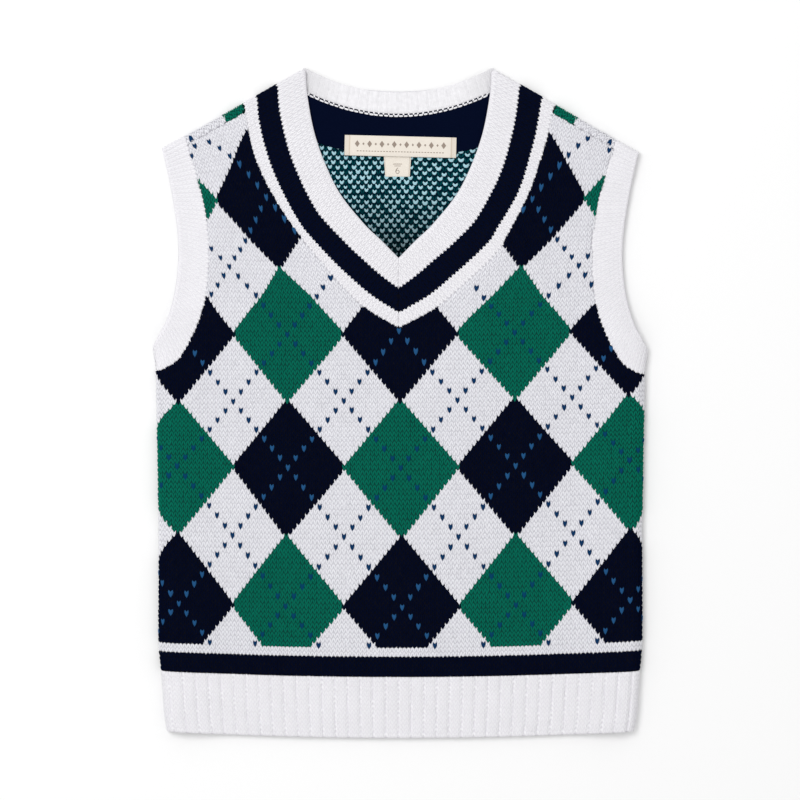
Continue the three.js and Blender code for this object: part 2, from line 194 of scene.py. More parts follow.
SIZE_TAB = {"x": -0.7, "y": 390, "width": 19, "height": 16.4, "turn": 0, "thick": 0.6}

# Half width of the body at the side seam: height, half width
SIDE_EDGE = np.array([
    (0, 159.0), (12, 160.9), (28, 162.0), (45, 163.2), (61, 164.6),
    (134, 164.4), (192, 165.2), (249, 166.5), (267, 168.9),
])

# Armhole band, from the shoulder to the underarm: its edge on the body, and its free edge
ARMHOLE_BODY = [
    (146.9, 410.1), (136.3, 374.0), (131.2, 348.0), (130.3, 325.0), (132.8, 298.0),
    (139.2, 278.0), (148.6, 260.0), (157.0, 252.8), (166.5, 249.0),
]
ARMHOLE_FREE = [
    (162.2, 401.7), (156.2, 374.0), (152.0, 347.0), (151.1, 326.0), (153.6, 303.0),
    (158.4, 285.5), (164.3, 274.6), (167.4, 269.6), (168.9, 267.0),
]

# Neckband, from the point of the V up to the shoulder: its free edge, and its edge on the body
NECK_FREE = [(0, 326.5), (11.5, 338.2), (24.5, 350.9), (42.1, 374), (55.6, 406), (61.9, 436.2), (63.2, 456.3)]
NECK_BODY = [(0, 278.8), (26.9, 295.8), (52, 323), (76.5, 354.5), (94, 385), (102.8, 412), (105.3, 433.1)]
# On the right its edge on the body lies further out over the chest
NECK_BODY_RIGHT = [
    (0, 278.8), (15, 286.3), (28.8, 294.8), (46.8, 310.4), (58.2, 320.9), (68.7, 331.9),
    (73.8, 341.5), (82.5, 358.0), (90.0, 374.5), (95.3, 391.0), (100.2, 407.4), (105.3, 433.1),
]

# Rows of the knitting: how high they lie, how far out the columns of diamonds are there, and how far each
# side rises
LATTICE_FIELDS = ("course", "y", "left_2", "left_1", "middle", "right_1", "right_2", "left_up", "right_up")
LATTICE = [dict(zip(LATTICE_FIELDS, row, strict=True)) for row in (
    (-14.5, 41.5, -150.4, -77.0, 2.6, 79.9, 155.4, 0.0, 0.0),
    (-10.5, 55.2, -150.4, -77.0, 2.6, 79.9, 155.4, 0.0, 0.5),
    (-8.5, 61.2, -150.4, -77.0, 2.6, 79.9, 155.4, 0.0, 1.0),
    (0, 89.0, -150.4, -77.0, 2.6, 79.9, 155.6, 0.3, 2.4),
    (14, 136.5, -151.2, -76.4, 2.1, 79.7, 156.0, 1.5, 3.6),
    (28, 183.7, -151.6, -75.2, 1.5, 79.5, 155.5, 1.2, 5.9),
    (42, 229.4, -150.8, -75.7, 1.0, 79.2, 154.9, -0.8, 6.1),
    (56, 274.2, -150.2, -75.7, 0.3, 78.9, 153.6, 0.8, 6.5),
    (70, 320.0, -154.0, -78.5, 0.0, 81.0, 156.5, 0.0, 4.0),
    (84, 362.5, -168.0, -83.8, 0.0, 85.4, 168.0, 0.0, 0.0),
    (91, 386.6, -170.0, -85.8, 0.0, 87.0, 170.0, 0.0, 0.0),
    (98, 405.6, -172.5, -88.5, 0.0, 89.5, 172.5, 0.0, 0.0),
    (112, 450.0, -186.0, -100.0, 0.0, 99.0, 185.0, 0.0, 0.0),
    (140, 538.0, -186.0, -100.0, 0.0, 99.0, 185.0, 0.0, 0.0),
)]
COLUMNS = ["left_2", "left_1", "middle", "right_1", "right_2"]

# The front's knitting over each side of the chest turns with the shoulder: at a course, where its chest wale
# lies, and how far across and up the next wale outwards lies
CHEST_WALE = 36
CHEST_FIELDS = (
    "course", "left_x", "left_y", "left_wide", "left_rise", "right_x", "right_y", "right_wide", "right_rise",
)
CHEST = [dict(zip(CHEST_FIELDS, row, strict=True)) for row in (
    (56, -97.0, 274.5, 2.66, 0.02, 100.2, 277.1, 2.67, 0.16),
    (64, -97.1, 301.1, 2.60, 0.05, 101.5, 301.8, 2.71, 0.20),
    (70, -101.0, 320.1, 2.50, 0.10, 105.2, 322.0, 2.74, 0.20),
    (76, -104.8, 338.1, 2.50, 0.05, 107.4, 340.2, 2.62, 0.18),
    (84, -110.2, 366.5, 2.49, -0.19, 110.8, 368.1, 2.50, 0.12),
    (90, -113.5, 389.6, 2.48, -0.42, 113.8, 390.7, 2.56, -0.05),
    (94, -117.7, 402.3, 2.45, -0.63, 115.7, 405.4, 2.62, -0.32),
    (98, -122.6, 413.8, 2.44, -0.75, 117.9, 417.2, 2.65, -0.50),
    (112, -137.3, 454.4, 2.44, -0.75, 125.6, 458.5, 2.65, -0.50),
)]
# Between the chest wale and the neckband the top courses are drawn further apart
CHEST_DRAWN = {"left": 0.7, "right": 0.2}
DRAWN_COURSES = (92, 100)
CHEST_COURSES = (57, 65)
CHEST_WALES = (10, 24)
RISE_AT = 150  # the sides' rise is measured so far out
# The neckband's point draws the knit up
NECK_PULL = {"x": 1.0, "wide": 26, "from": 245, "to": 275, "high": 2.6}
REPEAT = 28  # stitches from one diamond's middle to the next, across and up
FIRST_COURSE = -14
MARGIN_FROM = -10  # the white courses over the navy stripe
ARGYLE_FROM = -8


def ease(value, ends):
    share = np.clip((value - ends[0]) / (ends[1] - ends[0]), 0, 1)
    return share * share * (3 - 2 * share)


def blend(start, end, share):
    return start + (end - start) * share


def side_edge(y):
    return np.interp(y, SIDE_EDGE[:, 0], SIDE_EDGE[:, 1])


def settle(x, y):
    """The slight lean with which the vest lies."""
    centre = blend(NECK_CENTRE, BODY_CENTRE, ease(np.abs(x), CENTRE_BLEND))
    drop = np.where(x > 0, RIGHT_DROP * ease(x, DROP_ACROSS) * ease(y, DROP_UP), 0)
    return x + centre, y - drop


def hem_line(x, y):
    return y + HEM_BOW * (np.abs(x) / SIDE_EDGE[0, 1]) ** 2 * (1 - ease(y, BOW_ENDS))


shoulder_run = np.subtract(SHOULDER_TIP, NECK_CORNER) / math.dist(SHOULDER_TIP, NECK_CORNER)
shoulder_out = np.array([-shoulder_run[1], shoulder_run[0]])


def from_shoulder(x, y):
    """Distance of a point of the plan from the shoulder fold."""
    return (NECK_CORNER[0] - np.abs(x)) * shoulder_out[0] + (NECK_CORNER[1] - y) * shoulder_out[1]


def lift(x, y):
    over_facing = NECK_LIFT * ease(y, NECK_LIFT_UP) * (1 - ease(np.abs(x), NECK_LIFT_ACROSS))
    on_shoulder = SHOULDER_LIFT * (1 - ease(from_shoulder(x, y), (SHOULDER_FOLD, LIFT_REACH)))
    return np.maximum(over_facing, on_shoulder)


SHOULDER_RANGE = 40  # a line's end so near to the shoulder fold is its shoulder end


class Line:
    """A smooth line through points of the plan, read by a share of its length."""

    STEPS = 40

    def __init__(self, points):
        points = np.array(points, float)
        ends = np.vstack([points[:1], points, points[-1:]])
        share = np.linspace(0, 1, self.STEPS, endpoint=False)[:, None]
        dense = []
        for before, start, end, after in zip(ends, ends[1:], ends[2:], ends[3:], strict=False):
            leaving = (end - before) / 2
            arriving = (after - start) / 2
            dense.append(
                start + leaving * share
                + (3 * (end - start) - 2 * leaving - arriving) * share**2
                + (2 * (start - end) + leaving + arriving) * share**3
            )
        self.points = np.vstack([*dense, points[-1:]])
        run = np.concatenate([[0], np.cumsum(np.linalg.norm(np.diff(self.points, axis=0), axis=1))])
        self.shares = run / run[-1]

    def at(self, share):
        return np.stack([np.interp(share, self.shares, self.points[:, axis]) for axis in (0, 1)], axis=-1)

    def where_shoulder(self, distance):
        """The share at which the line is so far from the shoulder fold."""
        away = from_shoulder(self.points[:, 0], self.points[:, 1])
        near = away < SHOULDER_RANGE
        order = np.argsort(away[near])
        return np.interp(distance, away[near][order], self.shares[near][order])


armhole_body = Line(ARMHOLE_BODY)
armhole_free = Line(ARMHOLE_FREE)
neck_body = Line(NECK_BODY)
neck_body_right = Line(NECK_BODY_RIGHT)
neck_free = Line(NECK_FREE)


# How the knitting's stitches lie on the flat cloth: wales count from the middle, and courses up
def of_rows(field):
    return [row[field] for row in LATTICE]


def body_cloth(wale, course):
    marks = np.stack([np.interp(course, of_rows("course"), of_rows(column)) for column in COLUMNS])
    place = wale / REPEAT + 2
    left = np.clip(np.floor(place), 0, len(COLUMNS) - 2).astype(int)
    where = np.indices(np.shape(left))
    x = blend(marks[(left, *where)], marks[(left + 1, *where)], place - left)
    y = np.interp(course, of_rows("course"), of_rows("y"))
    rise = np.interp(course, of_rows("course"), of_rows("right_up")) * (x > 0)
    rise += np.interp(course, of_rows("course"), of_rows("left_up")) * (x < 0)
    near_point = np.exp(-(((x - NECK_PULL["x"]) / NECK_PULL["wide"]) ** 2))
    pulled = NECK_PULL["high"] * near_point * ease(y, (NECK_PULL["from"], NECK_PULL["to"]))
    return x, y + rise * (x / RISE_AT) ** 2 + pulled


def front_cloth(wale, course):
    x, y = body_cloth(wale, course)
    courses = [row["course"] for row in CHEST]
    share = ease(np.abs(wale), CHEST_WALES) * ease(course, CHEST_COURSES)
    for side, sign in (("left", -1), ("right", 1)):
        here = share * (sign * wale > 0)
        out = sign * wale - CHEST_WALE
        start_x, start_y, wide, rise = (
            np.interp(course, courses, [row[f"{side}_{part}"] for row in CHEST])
            for part in ("x", "y", "wide", "rise")
        )
        wide = wide + CHEST_DRAWN[side] * (out < 0) * ease(course, DRAWN_COURSES)
        x = blend(x, start_x + sign * out * wide, here)
        y = blend(y, start_y + out * rise, here)
    return x, y


def quarter(roll, rise):
    return math.pi / 2 * np.sqrt((roll**2 + rise**2) / 2)


def rolled_side(across, y, roll, rise):
    """Plan x, and how far the cloth has turned, where it bends round at the side."""
    flat = side_edge(y) - roll
    turn = np.clip((np.abs(across) - flat) / quarter(roll, rise), 0, 1.15) * math.pi / 2
    rolled = 1 - ease(y, ROLL_FADES)
    beyond = np.maximum(np.abs(across) - flat, 0)
    x = np.minimum(np.abs(across), flat) + blend(beyond, roll * np.sin(turn), rolled)
    return np.sign(across) * x, (1 - np.cos(turn)) * rolled


# Soft troughs and ridges of the laid cloth: where, how long and wide, which way they run, and how high
RUMPLES = [
    {"x": -96, "y": 212, "long": 70, "wide": 17, "turn": 62, "high": -0.55},
    {"x": -118, "y": 150, "long": 85, "wide": 20, "turn": 80, "high": 0.5},
    {"x": 104, "y": 190, "long": 78, "wide": 19, "turn": 112, "high": -0.5},
    {"x": 131, "y": 118, "long": 60, "wide": 16, "turn": 96, "high": 0.45},
    {"x": 24, "y": 226, "long": 60, "wide": 24, "turn": 20, "high": 0.45},
    {"x": -30, "y": 128, "long": 72, "wide": 26, "turn": 8, "high": -0.4},
    {"x": 58, "y": 78, "long": 48, "wide": 18, "turn": 150, "high": 0.4},
    {"x": -112, "y": 330, "long": 42, "wide": 13, "turn": 78, "high": -0.4},
    {"x": 112, "y": 322, "long": 46, "wide": 14, "turn": 104, "high": -0.45},
]


def rumple(x, y):
    height = np.zeros(np.shape(x))
    for fold in RUMPLES:
        angle = math.radians(fold["turn"])
        along = (x - fold["x"]) * math.cos(angle) + (y - fold["y"]) * math.sin(angle)
        across = (y - fold["y"]) * math.cos(angle) - (x - fold["x"]) * math.sin(angle)
        height += fold["high"] * np.exp(-((along / fold["long"]) ** 2) - (across / fold["wide"]) ** 2)
    return height


def front(across, y):
    """Outside of the front, from a place on its flat cloth."""
    inset = side_edge(y) - np.abs(across)
    rolled = 1 - ease(y, ROLL_FADES)
    crown = FRONT_TOP + lift(across, y) + SIDE_PUFF * rolled * (1 - ease(inset, (FRONT_ROLL, PUFF_REACH)))
    rise = crown - SIDE_SEAM_HEIGHT - SEAM_GAP / 2
    x, fallen = rolled_side(across, y, FRONT_ROLL, rise)
    px, py = settle(x, hem_line(x, y))
    return np.stack([px, py, crown - rise * fallen + rumple(px, py) * ease(inset, (0, PUFF_REACH))], axis=-1)


def front_band(x, y):
    """Outside of a band on the front, from a point of the plan."""
    inset = np.maximum(side_edge(y) - np.abs(x), 0)
    rolled = 1 - ease(y, ROLL_FADES)
    crown = FRONT_TOP + lift(x, y) + SIDE_PUFF * rolled * (1 - ease(inset, (FRONT_ROLL, PUFF_REACH)))
    rise = crown - SIDE_SEAM_HEIGHT - SEAM_GAP / 2
    turn = np.arcsin(1 - np.minimum(inset / FRONT_ROLL, 1))
    px, py = settle(x, y)
    z = crown - rise * rolled * (1 - np.cos(turn)) + rumple(px, py) * ease(inset, (0, PUFF_REACH))
    return np.stack([px, py, z], axis=-1)


def back_band(x, y):
    inset = np.maximum(side_edge(y) - np.abs(x), 0)
    turn = np.arcsin(1 - np.minimum(inset / BACK_ROLL, 1))
    rise = SIDE_SEAM_HEIGHT - SEAM_GAP / 2
    px, py = settle(x, y)
    return np.stack([px, py, rise * (1 - ease(y, ROLL_FADES)) * (1 - np.cos(turn))], axis=-1)


def back(across, y):
    """Outside of the back, whose cloth turns over the shoulder fold to the front."""
    rise = SIDE_SEAM_HEIGHT - SEAM_GAP / 2
    x, risen = rolled_side(across, y, BACK_ROLL, rise)
    away = from_shoulder(x, y)
    past = np.maximum(SHOULDER_FOLD - away, 0)
    half = (FRONT_TOP + SHOULDER_LIFT) / 2
    round_fold = 2 * quarter(SHOULDER_FOLD, half)
    turn = np.clip(past / round_fold, 0, 1) * math.pi - math.pi / 2
    reach = SHOULDER_FOLD * (1 - np.cos(turn)) + np.maximum(past - round_fold, 0)
    back_by = np.where(past > 0, reach - away, 0)
    x = x - np.sign(x) * shoulder_out[0] * back_by
    y = y - shoulder_out[1] * back_by
    px, py = settle(x, hem_line(x, y))
    z = np.where(past > 0, half * (1 + np.sin(turn)), rise * risen)
    return np.stack([px, py, z], axis=-1)


# The back's top courses are wider where they come over the shoulder
BACK_DRAWN = 0.04
BACK_DRAWN_COURSES = (96, 110)


def back_cloth(wale, course):
    x, y = body_cloth(wale, course)
    return x * (1 + BACK_DRAWN * ease(course, BACK_DRAWN_COURSES)), y


# Cut edges of the panels, on their flat cloth
def on_side_cloth(points, roll, rise):
    """Points of the plan, with those on the turned side rolled out flat."""
    x, y = points[:, 0], points[:, 1]
    flat = side_edge(y) - roll
    turn = np.arcsin(np.clip((x - flat) / roll, 0, 1))
    return np.stack([np.where(x > flat, flat + quarter(roll, rise) * turn / (math.pi / 2), x), y], axis=-1)


def side_seam(heights, roll, rise):
    flat = side_edge(heights) - roll
    return np.stack([flat + quarter(roll, rise), heights], axis=-1)


def both_halves(half):
    """A closed outline from its right half, which starts and ends on the middle line."""
    return np.vstack([half, (half * [-1, 1])[::-1]])


FRONT_RISE = FRONT_TOP + SIDE_PUFF - SIDE_SEAM_HEIGHT - SEAM_GAP / 2
BACK_RISE = SIDE_SEAM_HEIGHT - SEAM_GAP / 2
UNDERARM = 249  # the side seams end there
seam_at = SHOULDER_FLAP + SEAM_GAP


def armhole_cut(shoulder, roll, rise):
    """The armhole's edge, from the underarm to so far from the shoulder fold."""
    shares = np.linspace(1, armhole_body.where_shoulder(shoulder), 60)
    return on_side_cloth(armhole_body.at(shares), roll, rise)


def front_half(neck_line):
    return np.vstack([
        [(0, HEM_DEPTH)],
        side_seam(np.linspace(HEM_DEPTH, UNDERARM, 24), FRONT_ROLL, FRONT_RISE),
        armhole_cut(seam_at, FRONT_ROLL, FRONT_RISE),
        neck_line.at(np.linspace(neck_line.where_shoulder(seam_at), 0, 60)),
    ])


front_outline = np.vstack([front_half(neck_body_right), (front_half(neck_body) * [-1, 1])[::-1]])


def back_trim(part):
    corner = neck_body.at(neck_body.where_shoulder(SHOULDER_FOLD))
    y = BACK_TRIM["y"] + (corner[1] - BACK_TRIM["y"]) * part ** BACK_TRIM["power"]
    return np.stack([corner[0] * part, y], axis=-1)


def back_neck(part):
    corner = neck_free.at(neck_free.where_shoulder(SHOULDER_FOLD))
    y = BACK_NECK["y"] + (corner[1] - BACK_NECK["y"]) * part ** BACK_NECK["power"]
    return np.stack([corner[0] * part, y], axis=-1)


def linking_height(x):
    return BACK_LINKING["y"] + BACK_LINKING["rise"] * (x / NECK_CORNER[0]) ** 2


def over_the_fold(line):
    """Where an edge of the panel's flap lies on the back's flat cloth, from the fold to the forward seam."""
    start = line.at(line.where_shoulder(SHOULDER_FOLD))
    run = 2 * quarter(SHOULDER_FOLD, (FRONT_TOP + SHOULDER_LIFT) / 2) + SHOULDER_FLAP - SHOULDER_FOLD
    end = line.at(line.where_shoulder(SHOULDER_FLAP))
    slide = np.dot(end - start, shoulder_run) * shoulder_run
    return np.array([start + (shoulder_out * run + slide) * share for share in (0, 0.5, 1)])


back_outline = both_halves(np.vstack([
    [(0, HEM_DEPTH)],
    side_seam(np.linspace(HEM_DEPTH, UNDERARM, 24), BACK_ROLL, BACK_RISE),
    armhole_cut(SHOULDER_FOLD, BACK_ROLL, BACK_RISE),
    over_the_fold(armhole_body),
    over_the_fold(neck_body)[::-1],
    back_trim(np.linspace(1, 0, 40)[:-1]),
    [back_trim(0.0)],
]))


def grown(outline, by):
    """A closed outline moved outwards."""
    run = np.roll(outline, -1, axis=0) - np.roll(outline, 1, axis=0)
    run /= np.maximum(np.linalg.norm(run, axis=1, keepdims=True), 1e-9)
    return outline + by * np.stack([run[:, 1], -run[:, 0]], axis=-1)


def nearest_on(outline, points):
    """The nearest point of a closed outline, and how far away it is."""
    run = np.roll(outline, -1, axis=0) - outline
    size = np.maximum((run**2).sum(-1), 1e-12)
    found = np.empty_like(points)
    gap = np.empty(len(points))
    for some in np.array_split(np.arange(len(points)), len(points) // 4000 + 1):
        to = points[some, None] - outline
        share = np.clip((to * run).sum(-1) / size, 0, 1)
        near = outline + share[..., None] * run
        far = ((points[some, None] - near) ** 2).sum(-1)
        best = far.argmin(1)
        found[some] = near[np.arange(len(some)), best]
        gap[some] = np.sqrt(far.min(1))
    return found, gap


def is_inside(outline, points):
    after = np.roll(outline, -1, axis=0)
    inside = np.zeros(len(points), bool)
    for (ax, ay), (bx, by) in zip(outline, after, strict=True):
        if ay == by:
            continue
        crosses = (ay > points[:, 1]) != (by > points[:, 1])
        inside ^= crosses & (points[:, 0] < (bx - ax) * (points[:, 1] - ay) / (by - ay) + ax)
    return inside


class Piece:
    """A knitted piece: how its stitches lie on the flat cloth, and how the cloth lies on the vest."""

    def __init__(self, cloth, lay, outside=1, outline=None, step=0.3):
        self.cloth = cloth
        self.lay = lay
        self.outside = outside  # -1 where the outside faces down as the plan is seen
        self.outline = outline
        self.step = step

    def raised(self, across, up, height):
        """Points so far outside the cloth."""
        step = self.step
        right = self.lay(across + step, up) - self.lay(across - step, up)
        ahead = self.lay(across, up + step) - self.lay(across, up - step)
        normal = np.cross(right, ahead) * self.outside
        normal /= np.maximum(np.linalg.norm(normal, axis=-1, keepdims=True), 1e-9)
        return self.lay(across, up) + normal * np.asarray(height)[..., None]


def to_row(points):
    return (points - PLAN_ORIGIN) * MM


def make_mesh(name, points, faces, maps):
    """An object from points on the plan. Its faces have one number of corners, and its UV maps are named."""
    mesh = bpy.data.meshes.new(name)
    corners = faces.shape[1]
    mesh.vertices.add(len(points))
    mesh.vertices.foreach_set("co", to_row(points).astype(np.float32).ravel())
    mesh.loops.add(faces.size)
    mesh.loops.foreach_set("vertex_index", faces.ravel().astype(np.int32))
    mesh.polygons.add(len(faces))
    mesh.polygons.foreach_set("loop_start", np.arange(0, faces.size, corners, dtype=np.int32))
    mesh.update(calc_edges=True)
    mesh.validate()
    mesh.shade_smooth()
    index = np.empty(len(mesh.loops), np.int32)
    mesh.loops.foreach_get("vertex_index", index)
    for map_name, places in maps.items():
        layer = mesh.uv_layers.new(name=map_name)
        layer.uv.foreach_set("vector", places[index].astype(np.float32).ravel())
    made = bpy.data.objects.new(name, mesh)
    bpy.context.scene.collection.objects.link(made)
    return made


KNIT_MAP = "stitches"  # a piece's UV map in wales and courses
BAKE_MAP = "OFBake"


def shell(name, piece, wales, courses, outer, inner):
    """A closed thin wall under a piece's stitches. outer and inner give heights over wales and courses."""
    wale, course = np.meshgrid(wales, courses, indexing="ij")
    across, up = piece.cloth(wale, course)
    keep = np.ones((len(wales) - 1, len(courses) - 1), bool)
    if piece.outline is not None:
        middle = [(a[1:, 1:] + a[:-1, 1:] + a[1:, :-1] + a[:-1, :-1]) / 4 for a in (across, up)]
        keep = is_inside(piece.outline, np.stack([m.ravel() for m in middle], -1)).reshape(keep.shape)
    index = np.arange(wale.size).reshape(wale.shape)
    quads = np.stack([index[:-1, :-1], index[1:, :-1], index[1:, 1:], index[:-1, 1:]], -1)[keep]
    if piece.outside < 0:
        quads = quads[:, ::-1]
    edges = np.vstack([quads[:, [a, (a + 1) % 4]] for a in range(4)])
    known = {tuple(edge) for edge in edges.tolist()}
    rim = np.array([edge for edge in known if (edge[1], edge[0]) not in known])
    flat = np.stack([across.ravel(), up.ravel()], -1)
    if piece.outline is not None:
        at_rim = np.unique(rim)
        flat[at_rim], _ = nearest_on(piece.outline, flat[at_rim])
    tops = piece.raised(flat[:, 0], flat[:, 1], outer(wale, course).ravel())
    bottoms = piece.raised(flat[:, 0], flat[:, 1], inner(wale, course).ravel())
    count = wale.size
    sides = np.stack([rim[:, 0], rim[:, 0] + count, rim[:, 1] + count, rim[:, 1]], -1)
    faces = np.vstack([quads, quads[:, ::-1] + count, sides])
    used, faces = np.unique(faces, return_inverse=True)
    points = np.vstack([tops, bottoms])[used]
    places = np.tile(np.stack([wale.ravel(), course.ravel()], -1), (2, 1))[used]
    return make_mesh(name, points, faces.reshape(-1, 4), {KNIT_MAP: places})


# One leg of a knit stitch, of its width and height, leaning out to the left: across, up, and height
LEG = np.array([
    (-0.03, -0.68, 0.00),
    (-0.30, -0.24, 0.00), (-0.14, -0.26, 0.66), (0.01, -0.30, 0.02),
    (-0.50, 0.26, 0.00), (-0.31, 0.24, 0.95), (-0.11, 0.20, 0.04),
    (-0.42, 0.66, 0.12),
])
# The same for the overlaid line's stitches, which are fuller
DOT_LEG = np.array([
    (0.02, -0.84, 0.05),
    (-0.36, -0.36, 0.05), (-0.16, -0.34, 0.80), (0.06, -0.36, 0.60),
    (-0.58, 0.22, 0.05), (-0.30, 0.22, 1.00), (0.06, 0.26, 0.55),
    (-0.42, 0.66, 0.20),
])
LEG_FACES = np.array([
    (0, 2, 1), (0, 3, 2), (1, 2, 5), (1, 5, 4), (2, 3, 6), (2, 6, 5), (4, 5, 7), (5, 6, 7),
])


def knit(name, piece, stitches, relief, base=0.0, seed=1, leg=LEG, heights=None, uneven=0.035):
    """Knit stitches, two legs each, at the middles given in wales and courses."""
    draw = np.random.default_rng(seed)
    if piece.outline is not None:
        middles = np.stack(piece.cloth(stitches[:, 0], stitches[:, 1]), -1)
        stitches = stitches[is_inside(piece.outline, middles)]
    count = len(stitches)
    shift = draw.normal(0, uneven, (count, 2))
    plump = 1 + draw.normal(0, 0.09, count)
    swell = (1 + draw.normal(0, uneven, count))[:, None, None]
    legs = np.stack([leg, leg * [-1, 1, 1]])
    wale = stitches[:, None, None, 0] + legs[None, :, :, 0] * swell + shift[:, None, None, 0]
    course = stitches[:, None, None, 1] + legs[None, :, :, 1] * swell + shift[:, None, None, 1]
    height = base + relief * legs[None, :, :, 2] * plump[:, None, None]
    if heights is not None:
        height = height + heights(wale, course)
    across, up = piece.cloth(wale, course)
    flat = np.stack([across.ravel(), up.ravel()], -1)
    if piece.outline is not None:
        outside = ~is_inside(piece.outline, flat)
        flat[outside], _ = nearest_on(piece.outline, flat[outside])
    points = piece.raised(flat[:, 0], flat[:, 1], np.broadcast_to(height, wale.shape).ravel())
    faces = np.stack([LEG_FACES, LEG_FACES[:, ::-1] + len(leg)])
    if piece.outside < 0:
        faces = faces[..., ::-1]
    faces = faces.reshape(-1, 3) + (np.arange(count) * 2 * len(leg))[:, None, None]
    spots = np.stack([wale.ravel(), course.ravel()], -1)
    low, high = spots.min(0), spots.max(0)
    maps = {KNIT_MAP: spots, BAKE_MAP: (spots - low) / (high - low)}
    return make_mesh(name, points, faces.reshape(-1, 3), maps)


def argyle_yarn(wale, course):
    """Which yarn each stitch of the body is knitted in."""
    column = np.round(wale / REPEAT)
    row = np.round(course / REPEAT)
    in_diamond = np.abs(wale - REPEAT * column) + np.abs(course - REPEAT * row) <= REPEAT / 2
    coloured = np.where((column + row) % 2 == 0, "navy", "green")
    yarn = np.where(in_diamond, coloured, "white")
    on_line = ((wale + course) % REPEAT == 0) | ((wale - course) % REPEAT == 0)
    overlaid = on_line & (wale % 2 == 0)
    for ground, dot in {"navy": "blue", "white": "deep_blue", "green": "sea_blue"}.items():
        yarn = np.where(overlaid & (yarn == ground), dot, yarn)
    yarn = np.where(course < ARGYLE_FROM, "white", yarn)
    return np.where(course < MARGIN_FROM, "navy", yarn)


def grid_of_stitches(wales, courses):
    wale, course = np.meshgrid(wales, courses, indexing="ij")
    return np.stack([wale.ravel(), course.ravel()], -1).astype(float)


class Wire:
    """A shader socket whose arithmetic adds the nodes that work it out."""

    def __init__(self, dye, socket):
        self.dye = dye
        self.socket = socket

    def worked(self, operation, *values):
        return self.dye.node("ShaderNodeMath", {"operation": operation}, *values)

    def __add__(self, other):
        return self.worked("ADD", self, other)

    def __radd__(self, other):
        return self.worked("ADD", other, self)

    def __sub__(self, other):
        return self.worked("SUBTRACT", self, other)

    def __rsub__(self, other):
        return self.worked("SUBTRACT", other, self)

    def __mul__(self, other):
        return self.worked("MULTIPLY", self, other)

    def __rmul__(self, other):
        return self.worked("MULTIPLY", other, self)

    def __truediv__(self, other):
        return self.worked("DIVIDE", self, other)

    def __mod__(self, other):
        return self.worked("FLOORED_MODULO", self, other)

    def __lt__(self, other):
        return self.worked("LESS_THAN", self, other)

    def __gt__(self, other):
        return self.worked("GREATER_THAN", self, other)

    def __abs__(self):
        return self.worked("ABSOLUTE", self)

    def __round__(self):
        return self.worked("ROUND", self)


class Dye:
    """A material, whose nodes are added one by one."""

    def __init__(self, name):
        self.material = bpy.data.materials.new(name)
        self.material.use_nodes = True
        self.nodes = self.material.node_tree.nodes
        self.links = self.material.node_tree.links
        self.nodes.clear()

    def node(self, kind, settings, *values, output=0, **named):
        made = self.nodes.new(kind)
        for setting, value in settings.items():
            if setting == "stops":
                self.set_stops(made.color_ramp, value)
            else:
                setattr(made, setting, value)
        for key, value in [*enumerate(values), *named.items()]:
            self.feed(made.inputs[key if isinstance(key, int) else key.replace("_", " ")], value)
        return Wire(self, made.outputs[output]) if made.outputs else None

    def set_stops(self, ramp, stops):
        while len(ramp.elements) < len(stops):
            ramp.elements.new(1.0)
        for element, (place, colour) in zip(ramp.elements, stops, strict=True):
            element.position = place
            element.color = (*colour, 1)

    def feed(self, socket, value):
        if isinstance(value, Wire):
            self.links.new(value.socket, socket)
        elif isinstance(value, tuple) and len(value) == 3 and socket.type == "RGBA":
            socket.default_value = (*value, 1)
        else:
            socket.default_value = value

    def mixed(self, share, first, second):
        """A colour between two, through a Mix node."""
        made = self.nodes.new("ShaderNodeMix")
        made.data_type = "RGBA"
        sockets = [made.inputs[0], made.inputs[6], made.inputs[7]]
        for socket, value in zip(sockets, [share, first, second], strict=True):
            self.feed(socket, value)
        return Wire(self, made.outputs[2])

    def place(self):
        return self.node("ShaderNodeTexCoord", {}, output=3)

    def noise(self, scale, detail=2.0, roughness=0.5):
        settings = {"noise_dimensions": "3D"}
        return self.node(
            "ShaderNodeTexNoise", settings,
            Vector=self.place(), Scale=scale, Detail=detail, Roughness=roughness,
        )

    def finish(self, colour, roughness, height, bump, sheen=0.15, shine=0.25):
        normal = self.node("ShaderNodeBump", {}, Strength=bump, Distance=0.0006, Height=height)
        surface = self.node(
            "ShaderNodeBsdfPrincipled", {}, Base_Color=colour, Roughness=roughness, Normal=normal,
            Sheen_Weight=sheen, Sheen_Roughness=0.6, Specular_IOR_Level=shine,
        )
        self.node("ShaderNodeOutputMaterial", {}, surface)
        return self.material


def linear(red, green, blue):
    """A colour for the shaders, from its screen values of 0 to 255."""
    return tuple(
        part / 12.92 if part <= 0.04045 else ((part + 0.055) / 1.055) ** 2.4
        for part in (red / 255, green / 255, blue / 255)
    )


def shade(colour, share):
    return tuple(part * share for part in colour)


YARNS = {
    "white": linear(237, 237, 242),
    "green": linear(4, 112, 90),
    "navy": linear(0, 6, 31),
    "blue": linear(34, 81, 126),
    "deep_blue": linear(14, 50, 88),
    "sea_blue": linear(4, 64, 98),
    "rib_white": linear(241, 240, 244),
    "inside_white": linear(250, 249, 252),
    "cream": linear(233, 225, 214),
    "taupe": linear(150, 136, 124),
}
LINT = (0.008, 0.010, 0.017)
DARK_YARNS = ("green", "navy", "blue", "deep_blue", "sea_blue")
# Painted shade: the walls seen in the gaps between stitches take the backing yarn's colour, darkened for the shade
# that falls between the stitches
SHADED_DEPTHS = {
    "white": linear(220, 219, 226),
    "green": linear(0, 70, 60),
    "navy": linear(0, 2, 12),
    "rib_white": linear(234, 232, 237),
}
